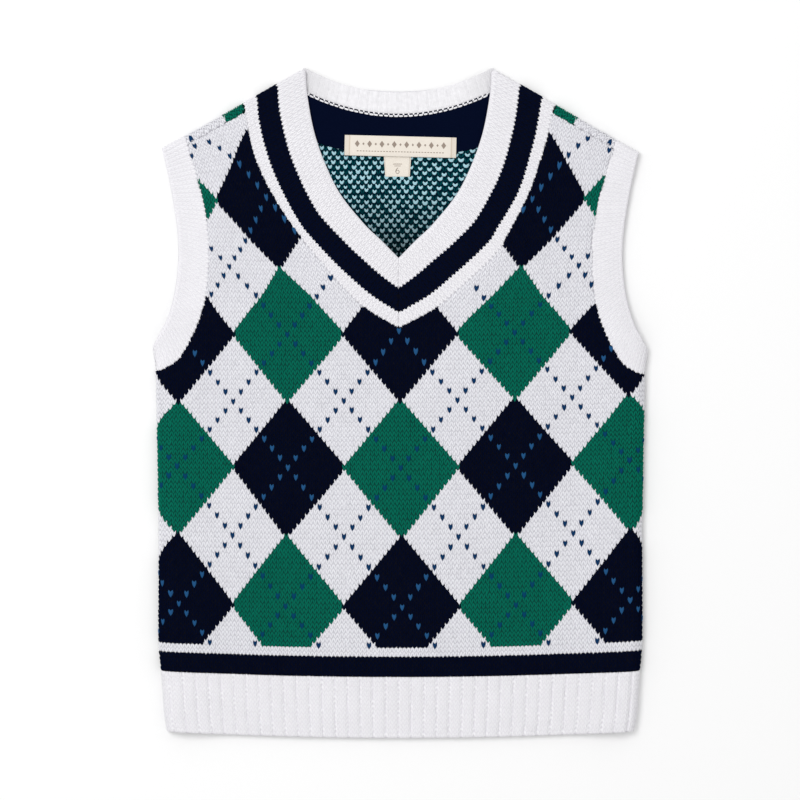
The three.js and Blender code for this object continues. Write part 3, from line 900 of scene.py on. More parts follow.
# The inside of the back, in the neck opening's shade at the point of the V, and higher up
REVERSE = {
    "float": (linear(92, 112, 118), linear(168, 210, 221)),
    "stitch": (linear(0, 30, 34), linear(0, 66, 72)),
    "ground": (linear(0, 8, 14), linear(0, 28, 42)),
}
# Painted shade: over these heights, in metres, the inside of the back goes from its shaded colours to its lit ones
SHADE_REACH = (0.103, 0.146)
# Painted shade: out across this span, in metres, the inside neckband darkens into its corners
CORNER_SHADE = (0.040, 0.064)


def yarn_material(name, colour, dark=False):
    """Soft cotton yarn, a little uneven in colour, with fine hairs in its bump."""
    dye = Dye(name)
    patches = dye.noise(55.0, 3.0)
    hairs = dye.noise(1900.0, 2.0, 0.7)
    worn = dye.mixed(patches * 0.5, colour, shade(colour, 0.86))
    lit = tuple(min(part * 1.12 + lint, 1) for part, lint in zip(colour, LINT, strict=True))
    fuzzy = dye.mixed(hairs * 0.34, worn, lit)
    if dark:
        return dye.finish(fuzzy, 0.84 + hairs * 0.14, hairs, 0.35, sheen=0.0, shine=0.02)
    return dye.finish(fuzzy, 0.82 + hairs * 0.14, hairs, 0.35)


def shaded_material(name, axis, reach, near, far, dark):
    """Yarn with painted shade: it goes from one colour to another along an axis of the vest, darker at the end where
    shade falls.
    """
    dye = Dye(name)
    split = dye.node("ShaderNodeSeparateXYZ", {}, dye.place())
    place = abs(Wire(dye, split.socket.node.outputs[axis]))
    run = reach[1] - reach[0]
    settings = {"operation": "MULTIPLY_ADD", "use_clamp": True}
    share = dye.node("ShaderNodeMath", settings, place, 1 / run, -reach[0] / run)
    patches = dye.noise(320.0, 2.0)
    hairs = dye.noise(1900.0, 2.0, 0.7)
    # painted shade: the colour goes from near to far over the reach
    colour = dye.mixed(share, near, far)
    worn = dye.mixed(share, shade(near, 0.6), shade(far, 0.62 if dark else 0.86))
    uneven = dye.mixed(patches * 0.5, colour, worn)
    shine = 0.02 if dark else 0.25
    return dye.finish(uneven, 0.84 + hairs * 0.14, hairs, 0.35, sheen=0.0 if dark else 0.15, shine=shine)


def argyle_depths(name):
    """The body's wall between and under its stitches: the same argyle in shade, from wales and courses."""
    dye = Dye(name)
    place = dye.node("ShaderNodeUVMap", {"uv_map": KNIT_MAP})
    split = dye.node("ShaderNodeSeparateXYZ", {}, place)
    wale = split
    course = Wire(dye, split.socket.node.outputs[1])
    column = round(wale / REPEAT)
    row = round(course / REPEAT)
    in_diamond = abs(wale - column * REPEAT) + abs(course - row * REPEAT) < REPEAT / 2 + 0.5
    odd = (column + row) % 2
    in_argyle = course > ARGYLE_FROM - 0.5
    in_stripe = course < MARGIN_FROM - 0.5
    diamond = dye.mixed(odd, SHADED_DEPTHS["navy"], SHADED_DEPTHS["green"])
    body = dye.mixed(in_diamond * in_argyle, SHADED_DEPTHS["white"], diamond)
    coloured = dye.mixed(in_stripe, body, SHADED_DEPTHS["navy"])
    patches = dye.noise(300.0, 3.0)
    mottled = dye.mixed(patches * 0.3, coloured, (0.02, 0.018, 0.03))
    return dye.finish(mottled, 0.95 - patches * 0.05, patches, 0.3, sheen=0.0, shine=0.05)


def striped_depths(name):
    """The neckband's wall, seen between its stitches: white, with the navy stripe between two of its courses, both in
    painted shade.
    """
    dye = Dye(name)
    split = dye.node("ShaderNodeSeparateXYZ", {}, dye.node("ShaderNodeUVMap", {"uv_map": KNIT_MAP}))
    dip = (1 - abs((split % 1) * 2 - 1)) * STRIPE_TEETH
    course = Wire(dye, split.socket.node.outputs[1]) + dip
    in_stripe = (course > NECK_STRIPE[0]) * (course < NECK_STRIPE[1])
    patches = dye.noise(300.0, 3.0)
    coloured = dye.mixed(in_stripe, SHADED_DEPTHS["rib_white"], SHADED_DEPTHS["navy"])
    mottled = dye.mixed(patches * 0.2, coloured, (0.02, 0.018, 0.03))
    return dye.finish(mottled, 0.95 - patches * 0.05, patches, 0.3, sheen=0.0, shine=0.05)


def own(piece_object, material, slot, *nodes):
    piece_object.data.materials.append(material)
    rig.ride(piece_object, "root")
    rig.slot(piece_object, slot)
    if nodes:
        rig.replaces(piece_object, *nodes)
    return piece_object


def level(height):
    return lambda wale, course: np.full(wale.shape, float(height))


def rounded_off(distance, radius=WALL / 2):
    """How far a face has sunk so near to a rounded edge."""
    inside = radius - np.clip(distance, 0, radius)
    return radius - np.sqrt(radius**2 - inside**2)


def mixed(start, end, share):
    return start + (end - start) * share[..., None]


NECK_STRIPE = (3, 8)
NECK_COURSES = 13
STRIPE_TEETH = 0.2  # a colour's stitches reach so far into the next colour's
yarn_materials = {
    name: yarn_material(f"{name}_cotton", colour, name in DARK_YARNS) for name, colour in YARNS.items()
}
depths_material = argyle_depths("argyle_depths")
neck_depths = striped_depths("neckband_depths")
# The ribs' wall between their stitches, in painted shade
rib_depths = yarn_material("rib_depths", SHADED_DEPTHS["rib_white"])
# The inside of the back's yarns, with painted shade darker towards the point of the V, where the neck opening's shade
# falls
reverse_shaded_materials = {
    name: shaded_material(f"reverse_{name}", 1, SHADE_REACH, near, far, name != "float")
    for name, (near, far) in REVERSE.items()
}
inside_white = YARNS["inside_white"]
# The inside neckband's yarn, with painted shade darker towards the neck's corners
inside_shaded_material = shaded_material(
    "inside_neckband_cotton", 0, CORNER_SHADE, inside_white, shade(inside_white, 0.8), False,
)

RELIEF = 0.85
SINK = 0.45  # the stitches' feet lie so far inside the solid's face
UNDER = 0.1  # and the wall under them so much further in
HALF_WALES = 64
FRONT_LAST_COURSE = 110
BACK_LAST_COURSE = 122
BODY_YARNS = ["white", "green", "navy", "blue", "deep_blue", "sea_blue"]
DOT_YARNS = ("blue", "deep_blue", "sea_blue")
DOT_RISE = 0.1
SEAM_OVERLAP = 0.35
FRONT_DIAMONDS_END = 97  # courses of the front above this are white
FLAP_GREEN_TO = 67  # the back's flap is green from the neckband to here along the shoulder


def over_the_shoulder(x, y):
    """Which stitches of the back lie on the front of the shoulder fold, and how far along it they are."""
    round_fold = 2 * quarter(SHOULDER_FOLD, (FRONT_TOP + SHOULDER_LIFT) / 2)
    over = SHOULDER_FOLD - from_shoulder(x, y) > round_fold * 0.6
    return over, (np.abs(x) - NECK_CORNER[0]) * shoulder_run[0] + (y - NECK_CORNER[1]) * shoulder_run[1]


def charted_yarn(side, piece, stitches):
    charted = argyle_yarn(stitches[:, 0], stitches[:, 1])
    if side == "front":
        return np.where(stitches[:, 1] > FRONT_DIAMONDS_END, "white", charted)
    over, along = over_the_shoulder(*piece.cloth(stitches[:, 0], stitches[:, 1]))
    charted = np.where(over & (charted == "green"), "white", charted)
    return np.where(over & (along < FLAP_GREEN_TO), "green", charted)


def dress_body(side, piece, last_course, sink):
    wales = np.arange(-HALF_WALES, HALF_WALES + 1) - 0.5
    courses = np.arange(FIRST_COURSE, last_course + 1) - 0.5
    wall = shell(f"{side}_cloth", piece, wales, courses, level(-sink - UNDER), level(-WALL))
    own(wall, depths_material, "argyle_knit", f"{side}_panel")
    stitches = grid_of_stitches(np.arange(-HALF_WALES, HALF_WALES), np.arange(FIRST_COURSE, last_course))
    charted = charted_yarn(side, piece, stitches)
    piece.outline = grown(piece.outline, SEAM_OVERLAP)
    legs = []
    for seed, yarn in enumerate(BODY_YARNS):
        dot = yarn in DOT_YARNS
        base = DOT_RISE - sink if dot and side == "front" else -sink
        leg = DOT_LEG if dot else LEG
        part = knit(f"{side}_{yarn}_stitches", piece, stitches[charted == yarn], RELIEF, base, seed, leg=leg)
        legs.append(own(part, yarn_materials[yarn], "argyle_knit"))
    return wall, legs


front_piece = Piece(front_cloth, front, 1, front_outline)
back_piece = Piece(back_cloth, back, -1, back_outline)
front_wall, front_legs = dress_body("front", front_piece, FRONT_LAST_COURSE, SINK)
back_wall, back_legs = dress_body("back", back_piece, BACK_LAST_COURSE, RELIEF)

HEM_RIBS = 38
WALES_A_RIB = 3
HEM_HALF = HEM_RIBS * WALES_A_RIB / 2
HEM_COURSES = 13
HEM_RIB_HEIGHT = 0.6
HEM_TOP = HEM_DEPTH - SEAM_GAP


def hem_cloth(roll, rise, start):
    def cloth(wale, course):
        y = start + course * (HEM_TOP - start) / HEM_COURSES
        half = side_edge(y) - roll + quarter(roll, rise)
        middle = (np.floor(wale / WALES_A_RIB) + 0.5) * WALES_A_RIB
        return (middle + (wale - middle) * 0.9) / HEM_HALF * half, y

    return cloth


def hem_ribs(wale, course):
    inside = (wale % WALES_A_RIB) / WALES_A_RIB * 2 - 1
    edge = rounded_off(course * HEM_TOP / HEM_COURSES)
    return HEM_RIB_HEIGHT * (1 - 1.6 * np.abs(inside) ** 5) - edge


def under_hem_ribs(wale, course):
    return hem_ribs(wale, course) - HEM_RIB_HEIGHT


def hem_inside(wale, course):
    return -WALL + rounded_off(course * HEM_TOP / HEM_COURSES) * 0.98


def dress_hem(side, piece, ribs, sink):
    marks = np.array([0.001, 0.25, 0.8, 1.5, 2.2, 2.75, 2.999])
    wales = (np.arange(-HEM_HALF, HEM_HALF, WALES_A_RIB)[:, None] + marks).ravel()
    courses = np.concatenate([[0, 0.06, 0.16, 0.3], np.linspace(0.5, HEM_COURSES, 2 * HEM_COURSES)])
    wall = shell(
        f"hem_{side}_cloth", piece, wales, courses,
        lambda wale, course: ribs(wale, course) - sink - UNDER, hem_inside,
    )
    own(wall, rib_depths, "rib_knit", f"hem_rib_{side}")
    stitches = grid_of_stitches(np.arange(-HEM_HALF, HEM_HALF) + 0.5, np.arange(HEM_COURSES) + 0.5)
    part = knit(f"hem_{side}_stitches", piece, stitches, 0.5, -sink, 11, heights=ribs, uneven=0.02)
    return wall, [own(part, yarn_materials["rib_white"], "rib_knit")]


hem_front_piece = Piece(hem_cloth(FRONT_ROLL, FRONT_RISE, 0), front)
hem_back_piece = Piece(hem_cloth(BACK_ROLL, BACK_RISE, 1), back, -1)
hem_front, hem_front_legs = dress_hem("front", hem_front_piece, hem_ribs, SINK)
hem_back, hem_back_legs = dress_hem("back", hem_back_piece, under_hem_ribs, 0.5)

# The neckband: one strip of fine ribs, from the point of the V over one shoulder, behind the neck and back
FOLD_RUN = 2 * quarter(SHOULDER_FOLD, (FRONT_TOP + SHOULDER_LIFT) / 2)
FINE_RIB = 3.1
NECK_FREE_START = (-18.4, 307.9)  # where the free edge would start without the mitre
NECK_FRONT_RUN = 60 * FINE_RIB
NECK_BACK_RUN = 30 * FINE_RIB
NECK_RUN = NECK_FRONT_RUN + FOLD_RUN + NECK_BACK_RUN
NECK_WIDE = 40
# Where the stripe's edges lie, as shares of the band's width, from the point of the V up to the shoulder
STRIPE_FIELDS = ("part", "left_outer", "left_inner", "right_outer", "right_inner")
STRIPE_EDGES = [dict(zip(STRIPE_FIELDS, row, strict=True)) for row in (
    (0.00, 0.270, 0.645, 0.270, 0.645),
    (0.20, 0.225, 0.578, 0.225, 0.600),
    (0.35, 0.168, 0.543, 0.215, 0.575),
    (0.50, 0.127, 0.492, 0.195, 0.545),
    (0.65, 0.170, 0.518, 0.155, 0.528),
    (0.80, 0.195, 0.540, 0.175, 0.535),
    (1.00, 0.205, 0.545, 0.195, 0.550),
)]
FINE_RIB_HEIGHT = 0.12
FINE_RELIEF = 0.42
EDGE_OVERLAP = 0.8  # the end stitches of a band lap so far over the seam
NECK_EDGE_COURSE = 1.5  # how wide a course is where the free edge is rounded
INNER_EDGE = 0.98  # the rounding of the wall's inner side, as a share of the outer side's
neck_free_past_mitre = Line([NECK_FREE_START, *NECK_FREE])


def over_shoulder(side, corner, turn):
    """The outside of the shoulder fold. turn goes from 90 degrees on the front to -90 on the back."""
    half = (FRONT_TOP + lift(corner[..., 0], corner[..., 1])) / 2
    out = corner + shoulder_out * (SHOULDER_FOLD * np.cos(turn))[..., None]
    px, py = settle(side * out[..., 0], out[..., 1])
    return np.stack([px, py, half * (1 + np.sin(turn))], axis=-1)


def neck_plan(run, share, side):
    part = np.clip(run / NECK_FRONT_RUN, 0, 1)
    left, right = (
        line.at(part * line.where_shoulder(SHOULDER_FOLD)) for line in (neck_body, neck_body_right)
    )
    start = np.where(np.broadcast_to(side > 0, part.shape)[..., None], right, left)
    end = neck_free_past_mitre.at(part * neck_free_past_mitre.where_shoulder(SHOULDER_FOLD))
    return mixed(start, end, share)


def neck_lay(along, across):
    side = np.where(along < 0, -1.0, 1.0)
    run = NECK_RUN - np.abs(along)
    share = across / NECK_WIDE
    plan = neck_plan(run, share, side)
    turn = (0.5 - np.clip((run - NECK_FRONT_RUN) / FOLD_RUN, 0, 1)) * math.pi
    part = 1 - np.clip((run - NECK_FRONT_RUN - FOLD_RUN) / NECK_BACK_RUN, 0, 1)
    behind = mixed(back_trim(part), back_neck(part), share)
    lying = np.where(
        (run < NECK_FRONT_RUN + FOLD_RUN)[..., None],
        over_shoulder(side, plan, turn),
        back_band(side * behind[..., 0], behind[..., 1]),
    )
    return np.where((run < NECK_FRONT_RUN)[..., None], front_band(side * plan[..., 0], plan[..., 1]), lying)


def stripe_edge(rib, part, edge):
    """Where an edge of the stripe lies, as a share of the band's width."""
    parts = [row["part"] for row in STRIPE_EDGES]
    left, right = (
        np.interp(part, parts, [row[f"{side}_{edge}"] for row in STRIPE_EDGES]) for side in ("left", "right")
    )
    return np.where(rib < 0, left, right)


def neck_cloth(rib, course):
    along = rib * FINE_RIB
    part = (NECK_RUN - np.abs(along)) / NECK_FRONT_RUN
    first = stripe_edge(rib, part, "outer")
    second = stripe_edge(rib, part, "inner")
    low, high = NECK_STRIPE
    share = np.where(
        course < low,
        course / low * first,
        np.where(
            course < high,
            blend(first, second, (course - low) / (high - low)),
            blend(second, 1, (course - high) / (NECK_COURSES - high)),
        ),
    )
    return along, share * NECK_WIDE


def mitred(overlap):
    """The neckband's outline on its flat cloth, cut where its two ends meet at the point of the V."""
    shares = np.linspace(-overlap / NECK_WIDE, 1, 30)
    runs = np.linspace(-2, 60, 400)
    ends = []
    for side in (1, -1):
        cut = []
        for share in shares:
            plan = neck_plan(np.maximum(runs, 0), np.full(runs.shape, share), side)
            cut.append(np.interp(0, plan[:, 0] + np.minimum(runs, 0), runs))
        ends.append(np.stack([side * (NECK_RUN - np.array(cut)), shares * NECK_WIDE], axis=-1))
    return np.vstack([ends[0], ends[1][::-1]])


def fine_ribs(rib, edge):
    inside = np.abs((rib % 1) * 2 - 1)
    return FINE_RIB_HEIGHT * (1 - 2 * inside**3) - edge


def neck_edge(course):
    return rounded_off((NECK_COURSES - course) * NECK_EDGE_COURSE)


def neck_ribs(rib, course):
    return fine_ribs(rib, neck_edge(course))


def under_neck_ribs(rib, course):
    return neck_ribs(rib, course) - FINE_RIB_HEIGHT


def neck_inside(rib, course):
    return -WALL + neck_edge(course) * INNER_EDGE


RIB_LEG = LEG * [0.92, 1.05, 1]
FINE_MARKS = np.array([0, 0.22, 0.5, 0.78])


def fine_rib_columns(first, last):
    return np.concatenate([(np.arange(first, last)[:, None] + FINE_MARKS).ravel(), [last]])


def band_rows(courses):
    rows = np.linspace(0, courses - 0.5, 2 * courses)
    return np.concatenate([rows, courses - np.array([0.3, 0.16, 0.06, 0])])


def dress_neckband():
    piece = Piece(neck_cloth, neck_lay, -1, mitred(0))
    half = int(NECK_RUN / FINE_RIB) + 1
    wall = shell(
        "neckband_cloth", piece, fine_rib_columns(-half, half), band_rows(NECK_COURSES),
        lambda rib, course: under_neck_ribs(rib, course) - SINK - UNDER, neck_inside,
    )
    own(wall, neck_depths, "rib_knit", "neckband")
    stitches = grid_of_stitches(np.arange(-half, half) + 0.5, np.arange(NECK_COURSES) + 0.5)
    navy = (stitches[:, 1] > NECK_STRIPE[0]) & (stitches[:, 1] < NECK_STRIPE[1])
    piece.outline = mitred(EDGE_OVERLAP)
    legs = []
    for name, chosen, yarn in (("white", ~navy, "rib_white"), ("navy", navy, "navy")):
        part = knit(
            f"neckband_{name}_stitches", piece, stitches[chosen], FINE_RELIEF, -SINK, 21, leg=RIB_LEG,
            heights=under_neck_ribs, uneven=0.02,
        )
        legs.append(own(part, yarn_materials[yarn], "rib_knit"))
    return wall, legs


neck_wall, neck_legs = dress_neckband()

ARM_COURSES = 7
ARM_WIDE = 19
ARM_FRONT_RUN = 53 * FINE_RIB
ARM_RUN = ARM_FRONT_RUN + FOLD_RUN / 2


def arm_lay(side):
    def lay(along, across):
        run = np.abs(along)
        share = across / ARM_WIDE
        part = np.clip((run - FOLD_RUN / 2) / ARM_FRONT_RUN, 0, 1)
        lines = []
        for line in (armhole_body, armhole_free):
            fold = line.where_shoulder(SHOULDER_FOLD)
            lines.append(line.at(fold + part * (1 - fold)))
        plan = mixed(*lines, share)
        turn = np.clip(along / FOLD_RUN, -0.5, 0.5) * math.pi
        lying = np.where(
            (along > 0)[..., None],
            front_band(side * plan[..., 0], plan[..., 1]),
            back_band(side * plan[..., 0], plan[..., 1]),
        )
        return np.where((run < FOLD_RUN / 2)[..., None], over_shoulder(side, plan, turn), lying)

    return lay


def arm_cloth(rib, course):
    return rib * FINE_RIB, course * ARM_WIDE / ARM_COURSES


def arm_edge(course):
    return rounded_off((ARM_COURSES - course) * ARM_WIDE / ARM_COURSES)


def under_arm_ribs(rib, course):
    return fine_ribs(rib, arm_edge(course)) - FINE_RIB_HEIGHT


def arm_inside(rib, course):
    return -WALL + arm_edge(course) * INNER_EDGE


def dress_armhole(name, side, seed):
    ends = np.array([(-ARM_RUN, 0), (ARM_RUN, 0), (ARM_RUN, ARM_WIDE), (-ARM_RUN, ARM_WIDE)])
    piece = Piece(arm_cloth, arm_lay(side), side, ends)
    half = int(ARM_RUN / FINE_RIB) + 1
    wall = shell(
        f"{name}_cloth", piece, fine_rib_columns(-half, half), band_rows(ARM_COURSES),
        lambda rib, course: under_arm_ribs(rib, course) - SINK - UNDER, arm_inside,
    )
    own(wall, rib_depths, "rib_knit", name)
    piece.outline = ends - [[0, EDGE_OVERLAP], [0, EDGE_OVERLAP], [0, 0], [0, 0]]
    stitches = grid_of_stitches(np.arange(-half, half) + 0.5, np.arange(ARM_COURSES) + 0.5)
    part = knit(
        f"{name}_stitches", piece, stitches, FINE_RELIEF, -SINK, seed, leg=RIB_LEG,
        heights=under_arm_ribs, uneven=0.02,
    )
    return wall, [own(part, yarn_materials["rib_white"], "rib_knit")]


arm_left, arm_left_legs = dress_armhole("armhole_band_left", -1, 31)
arm_right, arm_right_legs = dress_armhole("armhole_band_right", 1, 32)

# The inside of the back, as the neck opening shows it: the wrong side of the argyle, with a float at every
# other stitch
REVERSE_WALE = 2.75
REVERSE_SPREAD = 0.04  # the wales spread so much to the right
REVERSE_FALL = 0.05  # and the courses fall
REVERSE_COURSE = 3.3
REVERSE_START = 326
REVERSE_TOP = 412
REVERSE_UNDER = [6, -6]  # it reaches so far under the neckband
FLOAT = np.array([
    (0.04, -0.50, 0.0),
    (-0.36, -0.36, 0.0), (-0.20, -0.28, 0.85), (0.04, -0.24, 0.75),
    (-0.62, 0.12, 0.0), (-0.38, 0.14, 0.95), (0.0, 0.08, 0.40),
    (-0.46, 0.46, 0.1),
])


def on_back_inside(x, y):
    px, py = settle(x, hem_line(x, y))
    return np.stack([px, py, np.full(px.shape, WALL)], axis=-1)


def reverse_cloth(wale, course):
    right = np.maximum(wale, 0)
    x = wale * REVERSE_WALE + REVERSE_SPREAD * right**2
    return x, REVERSE_START + course * REVERSE_COURSE - REVERSE_FALL * (right + 3) * REVERSE_WALE


def dress_reverse():
    free = neck_free.at(np.linspace(0, 1, 60))
    free = free[free[:, 1] < REVERSE_TOP] + REVERSE_UNDER
    outline = both_halves(np.vstack([[(0, free[0, 1])], free, [(0, free[-1, 1])]]))
    piece = Piece(reverse_cloth, on_back_inside, 1, outline)
    stitches = grid_of_stitches(np.arange(-24, 25), np.arange(-3, 27))
    floats = (stitches.sum(1) % 2) == 0
    parts = [
        knit("reverse_floats", piece, stitches[floats], 0.85, -0.1, 41, leg=FLOAT, uneven=0.09),
        knit("reverse_stitches", piece, stitches[~floats], 0.6, -0.1, 42, leg=LEG * [1.3, 1, 1], uneven=0.05),
    ]
    own(parts[0], reverse_shaded_materials["float"], "argyle_knit")
    own(parts[1], reverse_shaded_materials["stitch"], "argyle_knit")
    wales = np.arange(-24, 25.0)
    ground = shell("reverse_ground", piece, wales, np.arange(-4, 28.0), level(0.05), level(-0.2))
    own(ground, reverse_shaded_materials["ground"], "argyle_knit")


dress_reverse()

# The inside of the neckband behind the neck, down to where it is linked to the back
INSIDE_RIBS = 20
INSIDE_COURSES = 12
INSIDE_RIB_WALES = 3
INSIDE_HALF = INSIDE_RIBS * INSIDE_RIB_WALES / 2
INSIDE_WIDE = 65
INSIDE_SPREAD = 0.1  # the ribs spread so much towards the linking


def inside_neck_cloth(wale, course):
    x = wale / INSIDE_HALF * INSIDE_WIDE
    end = np.minimum(np.abs(x / NECK_CORNER[0]), 1)
    top = BACK_NECK["y"] + (NECK_CORNER[1] - BACK_NECK["y"]) * end ** BACK_NECK["power"]
    spread = 1 + INSIDE_SPREAD * (1 - course / INSIDE_COURSES)
    return x * spread, blend(linking_height(np.abs(x)), top - 0.6, course / INSIDE_COURSES)


def inside_ribs(wale, course):
    inside = (wale % INSIDE_RIB_WALES) / INSIDE_RIB_WALES
    groove = np.abs(inside * 2 - 1) ** 5 + 0.6 * np.exp(-(((inside - 0.5) / 0.09) ** 2))
    return NECK_RIB_HEIGHT * (1 - 0.8 * groove)


def dress_inside_neck():
    piece = Piece(inside_neck_cloth, on_back_inside, 1)
    marks = np.array([0, 0.25, 0.7, 1.15, 1.5, 1.85, 2.3, 2.75])
    wales = (np.arange(-INSIDE_HALF, INSIDE_HALF, INSIDE_RIB_WALES)[:, None] + marks).ravel()
    wales = np.append(wales, INSIDE_HALF)
    ground = shell(
        "inside_neckband_ground", piece, wales, np.linspace(0, INSIDE_COURSES, 25),
        lambda wale, course: inside_ribs(wale, course) + 0.02, level(-0.3),
    )
    own(ground, inside_shaded_material, "rib_knit")
    stitches = grid_of_stitches(np.arange(-INSIDE_HALF, INSIDE_HALF) + 0.5, np.arange(INSIDE_COURSES) + 0.5)
    part = knit("inside_neckband_stitches", piece, stitches, 0.4, 0.03, 51, heights=inside_ribs, uneven=0.02)
    own(part, inside_shaded_material, "rib_knit")


dress_inside_neck()

# The jersey facing over the inside of the seam
FACING_TOP_Z = WALL + SEAM_GAP + FACING_THICK
FACING_WALE = 1.7
FACING_COURSE = 1.4


def on_facing(x, y):
    px, py = settle(x, y)
    return np.stack([px, py, np.full(px.shape, FACING_TOP_Z)], axis=-1)


def facing_cloth(wale, course):
    return wale * FACING_WALE, FACING_END["y"] - 1 + course * FACING_COURSE


def facing_outline():
    share = np.linspace(-1, 1, 33)
    top_x = FACING_HALF["top"] * share
    top = np.stack([top_x, linking_height(top_x) + LINKING_RAISE - 0.3], axis=-1)
    end_y = FACING_END["y"] + FACING_END["rise"] * np.abs(share) ** 3 + FACING_END["tilt"] * share
    return np.vstack([np.stack([FACING_HALF["end"] * share, end_y], axis=-1), top[::-1]])


def dress_facing():
    piece = Piece(facing_cloth, on_facing, 1, facing_outline())
    wales = np.arange(-40, 41)
    courses = np.arange(0, 33.0)
    wall = shell("facing_cloth", piece, wales - 0.5, courses, level(-0.25), level(-FACING_THICK))
    own(wall, yarn_materials["navy"], "facing_jersey", "back_neck_facing")
    part = knit("facing_stitches", piece, grid_of_stitches(wales, courses + 0.5), 0.35, -0.3, 61, uneven=0.02)
    return wall, [own(part, yarn_materials["navy"], "facing_jersey")]


facing_wall, facing_legs = dress_facing()


# Where the neckband is linked to the back: white loops over a navy line, seen inside
LOOPS = 37
LINKING_HALF = 62.5
BEAD = np.array([
    (-0.46, 0.0, 0.0),
    (-0.34, -0.42, 0.0), (-0.30, 0.0, 0.85), (-0.34, 0.42, 0.0),
    (0.02, -0.5, 0.0), (0.02, 0.0, 1.0), (0.02, 0.5, 0.0),
    (0.04, 0.0, 0.5),
])


def along_linking(drop, tall):
    """Cloth that follows the linking line, so far under it, with rows so tall."""
    def cloth(loop, row):
        x = loop / LOOPS * 2 * LINKING_HALF
        return x, linking_height(x) + (LINKING_RAISE - drop) + row * tall

    return cloth


def dress_linking():
    loops = np.arange(-LOOPS // 2, LOOPS // 2) + 0.5
    half = (LOOPS - 1) / 2
    line = Piece(along_linking(0.7, 1.9), on_facing, 1)
    rows = np.array([-0.5, 0, 0.5])
    strip = shell("linking_line", line, np.arange(-half, half + 1), rows, level(-0.05), level(-0.9))
    own(strip, yarn_materials["navy"], "facing_jersey")
    low = Piece(along_linking(1.3, 1.3), on_facing, 1)
    row = np.stack([loops, np.zeros(loops.shape)], axis=-1)
    beads = knit("linking_loops", low, row, 0.5, -0.1, 71, leg=BEAD, uneven=0.04)
    own(beads, yarn_materials["rib_white"], "rib_knit")
    between = Piece(along_linking(0.2, 1.3), on_facing, 1)
    bar = BEAD * [0.42, 1.1, 1]
    bars = knit("linking_bars", between, row + [0.5, 0], 0.35, -0.1, 72, leg=bar, uneven=0.06)
    own(bars, yarn_materials["rib_white"], "rib_knit")


dress_linking()


# Labels: plain woven tape, with a row of lozenges and the size in place of any words
def tape_place(label, top):
    turn = math.radians(label["turn"])

    def lay(x, y):
        px = label["x"] + x * math.cos(turn) - y * math.sin(turn)
        py = label["y"] + x * math.sin(turn) + y * math.cos(turn)
        px, py = settle(px, py)
        return np.stack([px, py, np.full(px.shape, top)], axis=-1)

    return lay


def tape_material(name):
    dye = Dye(name)
    place = dye.node("ShaderNodeUVMap", {"uv_map": KNIT_MAP})
    split = dye.node("ShaderNodeSeparateXYZ", {}, place)
    across = split
    up = Wire(dye, split.socket.node.outputs[1])
    # Painted shade: a darker line at each fold, where the tape turns under, and the ends a little darker
    ends = abs(across) > 0.45
    fold = ends * (abs(across) < 0.462)
    patches = dye.noise(180.0, 2.0)
    threads = dye.noise(2600.0, 1.0)
    weft = dye.node("ShaderNodeMath", {"operation": "SINE"}, up * 260)
    folded = dye.mixed(ends * 0.3 + fold * 0.5, YARNS["cream"], linear(196, 176, 154))
    worn = dye.mixed(patches * 0.35, folded, linear(214, 203, 188))
    woven = dye.mixed(threads * 0.25 + weft * 0.04, worn, linear(246, 240, 230))
    return dye.finish(woven, 0.6 + threads * 0.15, weft * 0.5 + threads, 0.25, sheen=0.05, shine=0.3)


LABEL_TOP = 4.8
SIZE_TOP = 3.5
MARK_HIGH = 0.08
tape = tape_material("woven_tape")


def dress_tape(name, node, label, top, taper):
    def cloth(across, up):
        return across * label["width"] * (1 - taper * (0.5 - up)), up * label["height"]

    piece = Piece(cloth, tape_place(label, top), 1)
    ends = np.array([-0.5, -0.495, -0.455, -0.45])
    across = np.concatenate([ends, np.linspace(-0.4, 0.4, 17), -ends[::-1]])
    up = np.array([-0.5, -0.47, -0.3, 0, 0.3, 0.47, 0.5])
    thick = label["thick"]

    def outer(place, row):
        border = rounded_off((0.5 - np.abs(row)) * label["height"], 0.25)
        return -border - 0.12 * (np.abs(place) > 0.452)

    made = shell(name, piece, across, up, outer, level(-thick))
    return own(made, tape, "woven_label", node)


neck_tape = dress_tape("neck_label_tape", "neck_label", LABEL, LABEL_TOP, 0.0)
size_tape = dress_tape("size_label_tape", "size_label", SIZE_TAB, SIZE_TOP, 0.12)


def woven_marks(name, label, top, polygons):
    """Flat shapes woven into a label, each a convex outline in millimetres from its middle."""
    lay = tape_place(label, top + MARK_HIGH)
    points = []
    faces = []
    for polygon in polygons:
        faces.append(list(range(len(points), len(points) + len(polygon))))
        points.extend(polygon)
    places = np.array(points, float)
    mesh = bpy.data.meshes.new(name)
    mesh.from_pydata(to_row(lay(places[:, 0], places[:, 1])).tolist(), [], faces)
    made = bpy.data.objects.new(name, mesh)
    bpy.context.scene.collection.objects.link(made)
    return own(made, yarn_materials["taupe"], "woven_label")


def lozenge(x, y, wide, high):
    return [(x - wide / 2, y), (x, y - high / 2), (x + wide / 2, y), (x, y + high / 2)]


def bar(x, y, wide, high):
    return [(x + i * wide / 2, y + j * high / 2) for i, j in ((-1, -1), (1, -1), (1, 1), (-1, 1))]


def ring_part(x, y, radius, thick, start, end, steps):
    """The quads of a curved stroke, between two angles in degrees."""
    angles = np.radians(np.linspace(start, end, steps + 1))
    inner = [(x + (radius - thick) * math.cos(a), y + (radius - thick) * math.sin(a)) for a in angles]
    outer = [(x + radius * math.cos(a), y + radius * math.sin(a)) for a in angles]
    return [[inner[i], outer[i], outer[i + 1], inner[i + 1]] for i in range(steps)]


